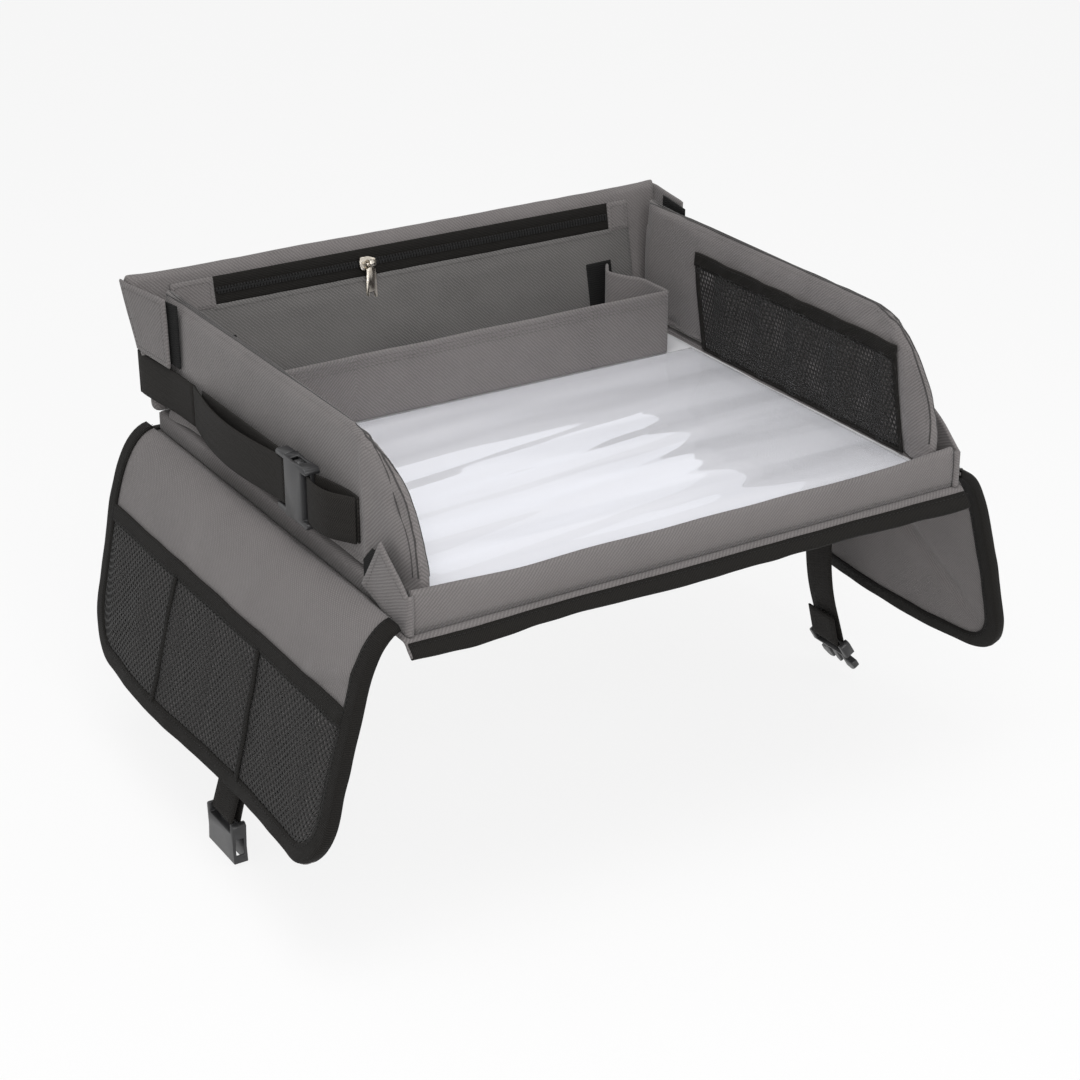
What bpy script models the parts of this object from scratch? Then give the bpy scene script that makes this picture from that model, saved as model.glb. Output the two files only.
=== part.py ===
# Fold-flat travel tray table for a child's car seat: a stiffened fabric tray with four
# folding walls, a zipped back pocket, an organiser bin, mesh pockets, two hanging side
# wings and side-release buckles on webbing. Metres, +Z up, front of the tray towards -Y.
# The origin is the centre of the underside, where the tray rests on the lap.

import bpy
import bmesh
from math import cos, exp, pi, radians, sin, sqrt, tan
from mathutils import Matrix, Vector

# Clearances and cloth
FIT = 0.0003                # gap between neighbours that touch on the real tray
SLIP = 0.0005               # gap between a stiffener board and its cover
OVERRUN = 0.004             # how far a cut runs past a face
BOARD_THICK = 0.0030        # stiffener boards
CLOTH_THICK = 0.0016        # doubled woven cloth
TAPE_THICK = 0.0010         # hook, loop and binding tape
SMOOTH_ANGLE = radians(35)  # faces that meet at less are shaded as one surface

# Tray box
TRAY_HALF_WIDTH = 0.1990    # centre to the outer face of a side wall
TRAY_FRONT = -0.1800        # front face of the lip
TRAY_BACK = 0.1800          # back edge of the base
SHEET_THICK = 0.0022        # bottom sheet that the wings hang from
SHEET_SIDE_MARGIN = 0.0070  # past the side walls' outer faces
SHEET_BACK_MARGIN = 0.0060  # past the base's back edge
SEAM_WIDTH = 0.0026         # upright seam allowance along each side, where a wing is sewn on
SHEET_HEM = 0.0010          # level stretch in front of the lip before the sheet droops
SHEET_DROOP = 0.0125        # drooping front margin, along the cloth
SHEET_DROOP_TILT = radians(48)
EDGE_TAPE_WIDTH = 0.0150    # binding, from its fold to its stitched edge

# Base
BASE_RIM_TOP = 0.0179
FLOOR_RECESS = 0.0024
FLOOR_SIDE_RIM = 0.0015     # side wall's foot to the floor
FLOOR_FRONT_RIM = 0.0100
FLOOR_BACK_RIM = 0.0160
BASE_BOARD_MARGIN = 0.0110  # board edge to the base's edge
BASE_BOARD_LEVEL = 0.0065
FLOOR_SHEET_THICK = 0.0012
FILM_THICK = 0.0005
FILM_MARGIN = 0.0035

# Front lip
LIP_THICK = 0.0055
LIP_TOP = 0.0260
LIP_BOARD_THICK = 0.0018
LIP_BOARD_MARGIN = 0.0035
TAB_THICK = 0.0022
TAB_REACH = 0.0540          # along the side wall, from the tray's front
TAB_TIP = 0.0500            # height of the tab's upper point
TAB_PATCH_WIDTH = 0.0220

# Side walls
WALL_FOOT = 0.0140          # thickness at the bottom
WALL_CREST = 0.0080         # thickness at the top
WALL_TOP = 0.1075
WALL_BACK_GAP = 0.0180      # side wall's back end to the base's back edge
WALL_CORNER_REACH = 0.0800  # half-axis of the rounded front corner, along Y
WALL_CORNER_FOOT = 0.0300   # height where the rounded front corner ends
WALL_CROWN = 0.0012         # swell of the padded faces
WALL_BOARD_MARGIN = 0.0090

# Back wall
BACK_FOOT = 0.0140
BACK_CREST = 0.0110
BACK_RISE = 0.0050          # how much higher than the side walls it stands
BACK_LEAN = radians(10.9)
BACK_OVERHANG = 0.0010      # foot of the back wall past a side wall's outer face
BACK_FLARE = 0.0118         # how much wider each side is at the top
BACK_BOARD_MARGIN = 0.0110
FLAP_THICK = 0.0022
FLAP_HEIGHT = 0.0470
FLAP_RISE = 0.0015          # flap's upper edge past the side wall's top
FLAP_REACH = 0.0400         # back edge of the tray to the flap's front edge
HOOK_REACH = 0.0670         # back edge of the tray to the hook strip's front edge
HOOK_START = 0.0140
HOOK_HEIGHT = 0.0380
HOOK_DROP = 0.0035          # hook strip's upper edge below the side wall's top
HOOK_GRIP = 0.0040          # how far a loop strip stops short of its hook strip

# Zipped pocket on the back wall; heights run up the leaning face
POCKET_SIDE_MARGIN = 0.0160 # pocket's end to a side wall's outer face
POCKET_HEM = 0.0010
ZIP_DROP = 0.0268           # lower edge of the zipper tape below the back wall's top
ZIP_TAPE = 0.0070           # one half of the tape
ZIP_CHAIN = 0.0050          # width of the closed chain
ZIP_END_TAB = 0.0160        # width of the right end tab
ZIP_SHIFT = 0.0070          # the zipper sits a little to the right
TOOTH_PITCH = 0.0050
TOOTH_WIDTH = 0.0022
TOOTH_HEIGHT = 0.0024
TOOTH_BEAD = 0.0008
SLIDER_AT = -0.0360
SLIDER_LENGTH = 0.0130
SLIDER_PLATE = 0.0018
SLIDER_FLANGE = 0.0011
BRIDGE_HEIGHT = 0.0046
BRIDGE_BAR = 0.0014
PULL_WIDTH = 0.0088
PULL_LENGTH = 0.0285
PULL_THICK = 0.0014
PULL_EYE = 0.0034
NECK_SHARE = 0.80           # width of the tab's shoulder against its body

# Organiser bin
ORGANISER_DEPTH = 0.0930    # back edge of the tray to the bin's front
ORGANISER_DROP = 0.0435     # bin's edge below the side walls' tops
ORGANISER_SIDE_RUN = 0.0640 # front stretch that folds down with a side wall
ORGANISER_SIDE_GAP = 0.0400 # side wall's outer face to the bin's end
ORGANISER_PLEAT = 0.0130    # how far the side pleat folds in
ORGANISER_PLY = 0.0022
PATCH_SIDE_GAP = 0.0350     # side wall's outer face to a patch
PATCH_WIDTH = 0.0150
PATCH_LOW = 0.0080
PATCH_HIGH = 0.0380

# Mesh pockets on the side walls
INNER_NET_START = 0.0470    # tray's front to the pocket's front end
INNER_NET_OVERLAP = 0.0030  # how far its back end runs behind the bin's front
INNER_NET_RISE = 0.0088     # pocket's lower edge above the wall's foot
INNER_NET_DROP = 0.0285     # net's upper edge below the wall's top
INNER_NET_SKEW = 0.0150     # the pocket's ends lean by this much
INNER_EDGE_HEIGHT = 0.0090
NET_THICK = 0.0008
NET_BAR_SHARE = 0.55        # width of a bar against a hole
INNER_NET_COLUMNS = 12
INNER_NET_ROWS = 4

# Wings
WING_GAP = 0.0007           # bottom sheet's edge to the hinge line
WING_LEVEL = 0.0090         # height of the hinge line
WING_DROP = 0.1690          # along the cloth, from the hinge line to the bottom
WING_CORNER = 0.0400
WING_THICK = 0.0044
WING_ROOT_THICK = 0.0016    # the padding thins towards the seam
WING_START = 0.0010
WING_FIRST_TILT = radians(80)
WING_HANG_TILT = radians(13.5)
WING_BEND = 0.0160          # length over which the shoulder turns down
WING_FOLD = 0.0030          # depth of the soft folds at the bottom
WING_FOLD_COUNT = 1.5
BIND_WIDTH = 0.0150
WING_NET_TOP = 0.0600
WING_EDGE_HEIGHT = 0.0110
WING_NET_COLUMNS = 16
WING_NET_ROWS = 5

# Webbing and side-release buckles
WEB_WIDTH = 0.0300
WEB_THICK = 0.0015
STRAP_GAP = 0.0022          # back flaps' lower edge to the strap's upper edge
STRAP_RISE = 0.0057         # how much higher it lies at the buckle
STRAP_BULGE = 0.0075
STRAP_SAG = 0.0050
STRAP_TURN_REACH = 0.0720   # back edge of the tray to where the side stretches start
STRAP_RIGHT_LENGTH = 0.0520
TAIL_GAP = 0.0180           # end of the tail to the start of its stretch
TAIL_SAG_SHARE = 0.6        # how much of the strap's rise its tail loses again
WEB_SIDE_GAP = 0.0008       # webbing's edge to the end of a buckle's slot
BUCKLE_RAIL = 0.0042        # end of a slot to the buckle's side
BUCKLE_HALF_THICK = 0.0050
BUCKLE_FRAME = 0.0125       # length of the male frame
BUCKLE_BODY = 0.0220        # length of the female body
BUCKLE_TAIL = 0.0070        # female end bar and its slot
BUCKLE_BAR = 0.0020
BAR_HALF_THICK = 0.0013
BUCKLE_WALL = 0.0018
BUCKLE_AT = -0.0360         # where the strap enters the upper buckle
BUCKLE_STAND = 0.0100       # middle of the upper buckle to the side wall
PRONG_REACH = 0.0185
PRONG_ROOT = 0.0095
PRONG_THICK = 0.0050
TONGUE_HALF = 0.0030
ANCHOR_REACH = 0.0820       # upper buckle's entry to the anchor's sewn end
LOWER_TOP = 0.0360          # along the wing, where a lower strap is sewn on
LOWER_RIGHT_Y = -0.0100
LOWER_LEFT_Y = 0.0000
LOWER_RIGHT_DROP = 0.1760
LOWER_LEFT_DROP = 0.1780
LOWER_TILT = radians(17)    # how far a lower strap's end stands off the vertical
MALE_TILT = radians(32)
LOOP_RETURN = 0.0240        # webbing folded back and stitched above a buckle

# Finishes: colour, roughness, metallic, alpha
FINISHES = {
    "grey_cloth": ((0.150, 0.143, 0.141), 0.85, 0.0, 1.0),
    "black_tape": ((0.014, 0.014, 0.014), 0.80, 0.0, 1.0),
    "black_mesh": ((0.022, 0.022, 0.022), 0.75, 0.0, 1.0),
    "black_plastic": ((0.020, 0.020, 0.021), 0.38, 0.0, 1.0),
    "nickel": ((0.62, 0.60, 0.56), 0.22, 1.0, 1.0),
    "white_board": ((0.78, 0.78, 0.80), 0.50, 0.0, 1.0),
    "white_sheet": ((0.74, 0.74, 0.77), 0.55, 0.0, 1.0),
    "clear_film": ((0.90, 0.91, 0.93), 0.08, 0.0, 0.25),
}

# Shares, each of the size named beside it
CREST_LEAN_SHARE = 0.3      # of a side wall's taper, on its outer face
CREST_ROUND_SHARE = 0.3     # of the crest's half thickness
TOOTH_NECK_SHARE = 0.36     # of a tooth's width
GUIDE_SHARES = (-0.75, 0.10)            # of the slider's half length
ORGANISER_FOLD_SHARE = 0.6  # of a ply's half thickness, at the bin's corners
SHOULDER_SPACING_SHARE = 1.7            # how much closer stations lie at a wing's shoulder
MALE_THICK_SHARE = 0.8      # of the female body's thickness
WAIST_SHARE = 0.6           # of a buckle's wall, drawn in at its waist
TONGUE_SHARES = (0.80, 0.95)            # of the prongs' reach: shoulder and tip
WINDOW_SHARES = (0.26, 0.80)            # of the female body's length
ANCHOR_FLAT_SHARE = 0.4     # of the webbing's width, sewn flat on the wall
ANCHOR_LIFT_SHARES = (0.6, 0.25)        # of the lift, and of the webbing's width before the bar
ANCHOR_RETURN_SHARES = (0.35, 0.8)      # of the webbing's width, behind the bar
LEAN_FADE_SHARE = 0.8       # of the wing's tilt that a lower strap starts with
HANG_START_SHARE = 0.5      # of a lower strap's length, before it stands off

# Places worked out from the sizes above
WALL_BOTTOM = BASE_RIM_TOP + FIT
SHEET_HALF_WIDTH = TRAY_HALF_WIDTH + SHEET_SIDE_MARGIN
SHEET_BACK = TRAY_BACK + SHEET_BACK_MARGIN
FLOOR_HALF_WIDTH = TRAY_HALF_WIDTH - WALL_FOOT - FLOOR_SIDE_RIM
FLOOR_FRONT = TRAY_FRONT + FLOOR_FRONT_RIM
FLOOR_BACK = TRAY_BACK - FLOOR_BACK_RIM
WALL_BACK = TRAY_BACK - WALL_BACK_GAP
BACK_TOP = WALL_TOP + BACK_RISE
BACK_HALF_WIDTH = TRAY_HALF_WIDTH + BACK_OVERHANG
BACK_TOP_HALF_WIDTH = BACK_HALF_WIDTH + BACK_FLARE
FLAP_HIGH = WALL_TOP + FLAP_RISE
FLAP_LOW = FLAP_HIGH - FLAP_HEIGHT
FLAP_FRONT = TRAY_BACK - FLAP_REACH
HOOK_FRONT = TRAY_BACK - HOOK_REACH
HOOK_BACK = TRAY_BACK - HOOK_START
HOOK_HIGH = WALL_TOP - HOOK_DROP
HOOK_LOW = HOOK_HIGH - HOOK_HEIGHT
POCKET_HALF_WIDTH = TRAY_HALF_WIDTH - POCKET_SIDE_MARGIN
ZIP_LOW = BACK_TOP - WALL_BOTTOM - ZIP_DROP
ZIP_HALF_LENGTH = POCKET_HALF_WIDTH - ZIP_SHIFT - ZIP_END_TAB
ORGANISER_FRONT = TRAY_BACK - ORGANISER_DEPTH
ORGANISER_TOP = WALL_TOP - ORGANISER_DROP
ORGANISER_END = TRAY_HALF_WIDTH - ORGANISER_SIDE_GAP
ORGANISER_MIDDLE = ORGANISER_END - ORGANISER_SIDE_RUN
PATCH_OUTER = TRAY_HALF_WIDTH - PATCH_SIDE_GAP
INNER_NET_FRONT = TRAY_FRONT + INNER_NET_START
INNER_NET_BACK = ORGANISER_FRONT + INNER_NET_OVERLAP
INNER_NET_LOW = WALL_BOTTOM + INNER_NET_RISE
INNER_NET_HIGH = WALL_TOP - INNER_NET_DROP
WING_LINE = SHEET_HALF_WIDTH + WING_GAP
WING_HALF_DEPTH = (TRAY_BACK - TRAY_FRONT) / 2
BUCKLE_SLOT_HALF = WEB_WIDTH / 2 + WEB_SIDE_GAP
BUCKLE_HALF_WIDTH = BUCKLE_SLOT_HALF + BUCKLE_RAIL
STRAP_LEVEL = FLAP_LOW - STRAP_GAP - WEB_WIDTH / 2      # middle of the strap at the back corners
STRAP_SPLIT = TRAY_BACK - STRAP_TURN_REACH
STRAP_RIGHT_END = STRAP_SPLIT - STRAP_RIGHT_LENGTH
TAIL_END = STRAP_SPLIT - TAIL_GAP
ANCHOR_END = BUCKLE_AT - ANCHOR_REACH
BASE_BOTTOM = SHEET_THICK + FIT
BASE_FRONT = TRAY_FRONT + LIP_THICK + FIT
FLOOR_LEVEL = BASE_RIM_TOP - FLOOR_RECESS
BACK_FRONT = TRAY_BACK - BACK_FOOT
HOOK_FACE = TRAY_HALF_WIDTH + FIT + TAPE_THICK + FIT
WRAP = sqrt(BUCKLE_BAR ** 2 / 4 + BAR_HALF_THICK ** 2) + FIT + WEB_THICK / 2
LEFT, RIGHT = -1, 1


def clear_scene():
    for old in list(bpy.data.objects):
        bpy.data.objects.remove(old, do_unlink=True)


def material(finish):
    found = bpy.data.materials.get(finish)
    if found:
        return found
    colour, roughness, metallic, alpha = FINISHES[finish]
    made = bpy.data.materials.new(finish)
    made.use_nodes = True
    shader = made.node_tree.nodes["Principled BSDF"]
    shader.inputs["Base Color"].default_value = (*colour, 1.0)
    shader.inputs["Roughness"].default_value = roughness
    shader.inputs["Metallic"].default_value = metallic
    shader.inputs["Alpha"].default_value = alpha
    return made


def closed_mesh(name, bm, pivot):
    """The shape as a mesh about its pivot, smooth where its faces meet at a low angle."""
    bmesh.ops.recalc_face_normals(bm, faces=bm.faces)
    bmesh.ops.translate(bm, verts=bm.verts, vec=-Vector(pivot))
    mesh = bpy.data.meshes.new(name)
    bm.to_mesh(mesh)
    bm.free()
    mesh.shade_smooth()
    mesh.set_sharp_from_angle(angle=SMOOTH_ANGLE)
    return mesh


def piece(name, bm, finish, pivot=(0, 0, 0)):
    """Make the object, with its origin on its pivot."""
    mesh = closed_mesh(name, bm, pivot)
    mesh.materials.append(material(finish))
    made = bpy.data.objects.new(name, mesh)
    made.location = pivot
    bpy.context.collection.objects.link(made)
    return made


def combine(target, bm, name, operation):
    """Give the target a boolean with a second shape, which only guides it."""
    guide = bpy.data.objects.new(name, closed_mesh(name, bm, target.location))
    guide.location = target.location
    guide.hide_render = True
    guide.display_type = "WIRE"
    bpy.context.collection.objects.link(guide)
    boolean = target.modifiers.new(name, "BOOLEAN")
    boolean.operation = operation
    boolean.solver = "EXACT"
    boolean.object = guide


def cut(target, bm, name):
    combine(target, bm, name, "DIFFERENCE")


def join(target, bm, name):
    combine(target, bm, name, "UNION")


def add_loft(bm, rings):
    """A closed solid through rings of points, capped at both ends."""
    rows = [[bm.verts.new(p) for p in ring] for ring in rings]
    count = len(rows[0])
    for low, high in zip(rows, rows[1:]):
        for i in range(count):
            j = (i + 1) % count
            bm.faces.new((low[i], low[j], high[j], high[i]))
    bm.faces.new(list(reversed(rows[0])))
    bm.faces.new(rows[-1])
    return bm


def loft(rings):
    return add_loft(bmesh.new(), rings)


def add_box(bm, x, y, z):
    """A box between pairs of limits."""
    ring = [(x[0], y[0]), (x[1], y[0]), (x[1], y[1]), (x[0], y[1])]
    return add_loft(bm, [[Vector((a, b, h)) for a, b in ring] for h in z])


def box(x, y, z):
    return add_box(bmesh.new(), x, y, z)


def along_x(outline, x):
    """Extrude a (y, z) outline between two x limits."""
    return loft([[Vector((at, a, b)) for a, b in outline] for at in x])


def band(path, half_width, half_thick):
    """Flat webbing along a path of (centre, face normal, width direction)."""
    rings = []
    for centre, normal, across in path:
        w, t = across * half_width, normal * half_thick
        rings.append([centre - w - t, centre + w - t, centre + w + t, centre - w + t])
    return loft(rings)


def arc(centre, radius, start, end, steps):
    """Points of an arc in a plane, end points included."""
    turn = (end - start) / steps
    return [(centre[0] + radius * cos(start + turn * i), centre[1] + radius * sin(start + turn * i))
            for i in range(steps + 1)]


def plan_band(points, levels, half_width):
    """Webbing on edge along points in plan, with its middle height at each."""
    path, last = [], len(points) - 1
    for i, point in enumerate(points):
        before, after = Vector(points[max(i - 1, 0)]), Vector(points[min(i + 1, last)])
        run = (after - before).normalized()
        normal = Vector((run.y, -run.x, 0))
        path.append((Vector((*point, levels[i])), normal, Vector((0, 0, 1))))
    return band(path, half_width, WEB_THICK / 2)


# Base, floor and bottom sheet

def make_base():
    x, y = TRAY_HALF_WIDTH, (BASE_FRONT, TRAY_BACK)
    cover = piece("base_cover", box((-x, x), y, (BASE_BOTTOM, BASE_RIM_TOP)), "grey_cloth")
    cut(cover, box((-FLOOR_HALF_WIDTH, FLOOR_HALF_WIDTH), (FLOOR_FRONT, FLOOR_BACK),
                   (FLOOR_LEVEL, BASE_RIM_TOP + OVERRUN)), "floor_recess")
    bx = x - BASE_BOARD_MARGIN
    by = (BASE_FRONT + BASE_BOARD_MARGIN, TRAY_BACK - BASE_BOARD_MARGIN)
    bz = (BASE_BOARD_LEVEL, BASE_BOARD_LEVEL + BOARD_THICK)
    cut(cover, box((-bx - SLIP, bx + SLIP), (by[0] - SLIP, TRAY_BACK + OVERRUN),
                   (bz[0] - FIT, bz[1] + FIT)), "base_board_sleeve")
    piece("base_board", box((-bx, bx), by, bz), "white_board")
    fx = FLOOR_HALF_WIDTH - FIT
    fy = (FLOOR_FRONT + FIT, FLOOR_BACK - FIT)
    fz = (FLOOR_LEVEL + FIT, FLOOR_LEVEL + FIT + FLOOR_SHEET_THICK)
    piece("floor_sheet", box((-fx, fx), fy, fz), "white_sheet")
    cx = fx - FILM_MARGIN
    film_level = (fz[1] + FIT, fz[1] + FIT + FILM_THICK)
    film = box((-cx, cx), (fy[0] + FILM_MARGIN, ORGANISER_FRONT - SLIP), film_level)
    piece("clear_film", film, "clear_film")


def droop_line(reach):
    """Middle of the bottom sheet's front margin at a distance along the cloth."""
    start, half = TRAY_FRONT - SHEET_HEM, SHEET_THICK / 2
    if reach <= 0:
        return Vector((start - reach, half)), Vector((0, 1))
    y = start - reach * cos(SHEET_DROOP_TILT)
    return Vector((y, half - reach * sin(SHEET_DROOP_TILT))), Vector((-sin(SHEET_DROOP_TILT),
                                                                      cos(SHEET_DROOP_TILT)))


def make_bottom_sheet():
    half, knee = SHEET_THICK / 2, SHEET_DROOP_TILT / 2
    start, _ = droop_line(0)
    end, normal = droop_line(SHEET_DROOP)
    bend = Vector((-sin(knee), cos(knee))) * half / cos(knee)
    step = (SHEET_BACK - EDGE_TAPE_WIDTH - FIT, TAPE_THICK + FIT)
    outline = [(step[0], 0), step, (SHEET_BACK, step[1]), (SHEET_BACK, SHEET_THICK), tuple(start + bend),
               tuple(end + normal * half), tuple(end - normal * half), tuple(start - bend)]
    x = (-SHEET_HALF_WIDTH, SHEET_HALF_WIDTH)
    sheet = piece("bottom_sheet", along_x(outline, x), "grey_cloth")
    reach = WING_HALF_DEPTH - BIND_WIDTH - SLIP
    outer = WING_LINE + FIT * 2
    top = WING_LEVEL - WING_ROOT_THICK / 2 - SLIP
    for side, label in ((LEFT, "left"), (RIGHT, "right")):
        seam_x = sorted((side * (outer - SEAM_WIDTH), side * outer))
        join(sheet, box(seam_x, (-reach, reach), (SHEET_THICK / 2, top)), "side_seam_" + label)
    inner, outer = half + FIT, half + FIT + TAPE_THICK
    edge = SHEET_DROOP + FIT
    fold = edge + TAPE_THICK
    above, below = TAPE_THICK, 3 * TAPE_THICK
    front = []
    for reach, off in ((above, outer), (fold, outer), (fold, -outer), (below, -outer),
                       (below, -inner), (edge, -inner), (edge, inner), (above, inner)):
        point, normal = droop_line(reach)
        front.append(tuple(point + normal * off))
    piece("front_binding", along_x(front, x), "black_tape")
    grip = SHEET_BACK - TRAY_BACK - FIT
    fold = SHEET_BACK + FIT + TAPE_THICK
    end, start = SHEET_BACK + FIT, SHEET_BACK - EDGE_TAPE_WIDTH
    back = [(SHEET_BACK - grip, half + outer), (fold, half + outer), (fold, 0), (start, 0),
            (start, TAPE_THICK), (end, TAPE_THICK), (end, half + inner), (SHEET_BACK - grip, half + inner)]
    piece("back_binding", along_x(back, x), "black_tape")


# Front lip and its corner tabs

def make_lip():
    x = TRAY_HALF_WIDTH
    pivot = (0, TRAY_FRONT, BASE_BOTTOM)
    y = (TRAY_FRONT, TRAY_FRONT + LIP_THICK)
    middle = (y[0] + y[1]) / 2
    crest = LIP_THICK / 2
    outline = [(y[0], BASE_BOTTOM), (y[1], BASE_BOTTOM)]
    outline += arc((middle, LIP_TOP - crest), crest, 0, pi, 6)
    cover = piece("lip_cover", along_x(outline, (-x, x)), "grey_cloth", pivot)
    bx, bt = x - BASE_BOARD_MARGIN, LIP_BOARD_THICK / 2
    bz = (BASE_BOTTOM + FIT, LIP_TOP - LIP_BOARD_MARGIN)
    cut(cover, box((-bx - SLIP, bx + SLIP), (middle - bt - FIT, middle + bt + FIT),
                   (BASE_BOTTOM - OVERRUN, bz[1] + FIT)), "lip_board_sleeve")
    piece("lip_board", box((-bx, bx), (middle - bt, middle + bt), bz), "white_board", pivot)
    for side, label in ((LEFT, "left"), (RIGHT, "right")):
        make_tab(side, label, pivot)
        make_tab_hook(side, label, pivot)


def tab_outline():
    """Side view of a corner tab, as (y, z): it points up and back along the side wall."""
    front, foot = TRAY_FRONT, BASE_BOTTOM + 2 * FIT
    shares = [(0, 0), (0.46, 0.06), (1.0, 0.22), (0.98, 0.42), (0.64, 0.86), (0.58, 1.0), (0.50, 0.97),
              (0, 0.50)]
    return [(front + TAB_REACH * a, foot + (TAB_TIP - foot) * b) for a, b in shares]


def make_tab(side, label, pivot):
    inner = side * (HOOK_FACE + TAPE_THICK + FIT)
    outer = inner + side * TAB_THICK
    tab = [[Vector((x, y, z)) for y, z in tab_outline()] for x in (inner, outer)]
    made = piece("lip_tab_" + label, loft(tab), "grey_cloth", pivot)
    root = side * (TRAY_HALF_WIDTH + FIT)
    neck_top = LIP_TOP - LIP_BOARD_MARGIN
    neck = box(sorted((root, inner + side * TAB_THICK / 2)), (TRAY_FRONT, TRAY_FRONT + LIP_THICK),
               (BASE_BOTTOM + 2 * FIT, neck_top))
    join(made, neck, "tab_neck_" + label)


def make_tab_hook(side, label, pivot):
    """Hook patch on a tab's inner face, showing as a black corner at the tab's end."""
    end, low, wide = TRAY_FRONT + TAB_REACH + TAPE_THICK, BASE_RIM_TOP, TAB_PATCH_WIDTH
    outline = [(end - wide, low), (end, low), (end, low + wide / 2), (end - wide, low + wide)]
    x = (side * HOOK_FACE, side * (HOOK_FACE + TAPE_THICK))
    piece("tab_hook_" + label, loft([[Vector((at, y, z)) for y, z in outline] for at in x]),
          "black_tape", pivot)


# Side walls

def wall_top(y):
    """Height of a side wall's top edge, which ends in one large rounded corner."""
    start = BASE_FRONT + WALL_CORNER_REACH
    if y >= start:
        return WALL_TOP
    share = min((start - y) / WALL_CORNER_REACH, 1.0)
    return WALL_CORNER_FOOT + (WALL_TOP - WALL_CORNER_FOOT) * sqrt(max(1 - share * share, 0))


def wall_stations(front, back, reach):
    """Places along a wall, close together where its top edge is round."""
    turn = [front + reach * (1 - cos(pi / 2 * i / 9)) for i in range(9)]
    flat = [front + reach + (back - front - reach) * i / 3 for i in range(4)]
    return turn + flat


def wall_ring(side, y, top):
    """Cross-section of a side wall: a padded panel that thins towards its crest."""
    outer, inner = TRAY_HALF_WIDTH, TRAY_HALF_WIDTH - WALL_FOOT
    crest_out = TRAY_HALF_WIDTH - (WALL_FOOT - WALL_CREST) * CREST_LEAN_SHARE
    crest_in = crest_out - WALL_CREST
    round_off = WALL_CREST / 2
    ease = round_off * CREST_ROUND_SHARE
    shoulder = top - round_off
    middle = (WALL_BOTTOM + shoulder) / 2
    profile = [(outer, WALL_BOTTOM), (outer, middle), (crest_out, shoulder)]
    profile += [(crest_out - ease, top - ease), (crest_out - round_off, top), (crest_in + ease, top - ease)]
    profile += [(crest_in, shoulder), ((crest_in + inner) / 2 - WALL_CROWN, middle),
                (inner, WALL_BOTTOM + WALL_CROWN * 2), (inner + WALL_CROWN, WALL_BOTTOM)]
    return [Vector((side * x, y, z)) for x, z in profile]


def make_side_wall(side, label):
    pivot = wall_pivot(side)
    stations = wall_stations(BASE_FRONT, WALL_BACK, WALL_CORNER_REACH)
    rings = [wall_ring(side, y, wall_top(y)) for y in stations]
    cover = piece(label + "_wall_cover", loft(rings), "grey_cloth", pivot)
    middle = TRAY_HALF_WIDTH - WALL_FOOT / 2
    x = [side * (middle - BOARD_THICK / 2), side * (middle + BOARD_THICK / 2)]
    inset = WALL_BOARD_MARGIN
    places = wall_stations(BASE_FRONT + inset, WALL_BACK - inset, WALL_CORNER_REACH)
    outline = [(WALL_BACK - inset, WALL_BOTTOM + FIT), (BASE_FRONT + inset, WALL_BOTTOM + FIT)]
    outline += [(y, wall_top(y - inset) - inset) for y in places]
    board = [[Vector((at, y, z)) for y, z in outline] for at in x]
    piece(label + "_wall_board", loft(board), "white_board", pivot)
    sleeve_x = [side * (middle - BOARD_THICK / 2 - SLIP), side * (middle + BOARD_THICK / 2 + SLIP)]
    gap = inset - SLIP
    places = wall_stations(BASE_FRONT + gap, WALL_BACK - gap, WALL_CORNER_REACH)
    outline = [(WALL_BACK - gap, WALL_BOTTOM - OVERRUN), (BASE_FRONT + gap, WALL_BOTTOM - OVERRUN)]
    outline += [(y, wall_top(y - gap) - gap) for y in places]
    sleeve = [[Vector((at, y, z)) for y, z in outline] for at in sleeve_x]
    cut(cover, loft(sleeve), label + "_wall_sleeve")
    x = sorted((side * (TRAY_HALF_WIDTH + FIT), side * (TRAY_HALF_WIDTH + FIT + TAPE_THICK)))
    loop = box(x, (HOOK_FRONT + HOOK_GRIP, WALL_BACK - FIT), (HOOK_LOW - HOOK_GRIP, HOOK_HIGH - HOOK_GRIP))
    piece(label + "_wall_loop_strip", loop, "black_tape", pivot)
    make_inner_net(side, label, pivot)


def wall_pivot(side):
    return (side * (TRAY_HALF_WIDTH - WALL_FOOT), 0, WALL_BOTTOM)


def net_rows(low, high, bars):
    """Edges of the bars of a net, as shares: bar, hole, bar and so on."""
    pitch = (high - low) / (bars - 1 + bars * NET_BAR_SHARE)
    width, places = pitch * NET_BAR_SHARE, []
    for i in range(bars):
        start = low + i * (pitch + width)
        places += [start, start + width]
    return places


def net_solid(at, across, up):
    """A flat net: a lattice of bars between two faces, with a real gap in every cell."""
    bm = bmesh.new()
    layers = [[[bm.verts.new(at(u, v, face)) for v in up] for u in across] for face in (0, 1)]
    columns, rows = len(across) - 1, len(up) - 1

    def solid(i, j):
        inside = 0 <= i < columns and 0 <= j < rows
        return inside and not (i % 2 == 1 and j % 2 == 1)

    for i in range(columns):
        for j in range(rows):
            if not solid(i, j):
                continue
            for layer in layers:
                bm.faces.new((layer[i][j], layer[i + 1][j], layer[i + 1][j + 1], layer[i][j + 1]))
            edges = (((i, j), (i, j + 1), (i - 1, j)), ((i + 1, j), (i + 1, j + 1), (i + 1, j)),
                     ((i, j), (i + 1, j), (i, j - 1)), ((i, j + 1), (i + 1, j + 1), (i, j + 1)))
            for (a, b), (c, d), beyond in edges:
                if not solid(*beyond):
                    bm.faces.new((layers[0][a][b], layers[0][c][d], layers[1][c][d], layers[1][a][b]))
    return bm


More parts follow.
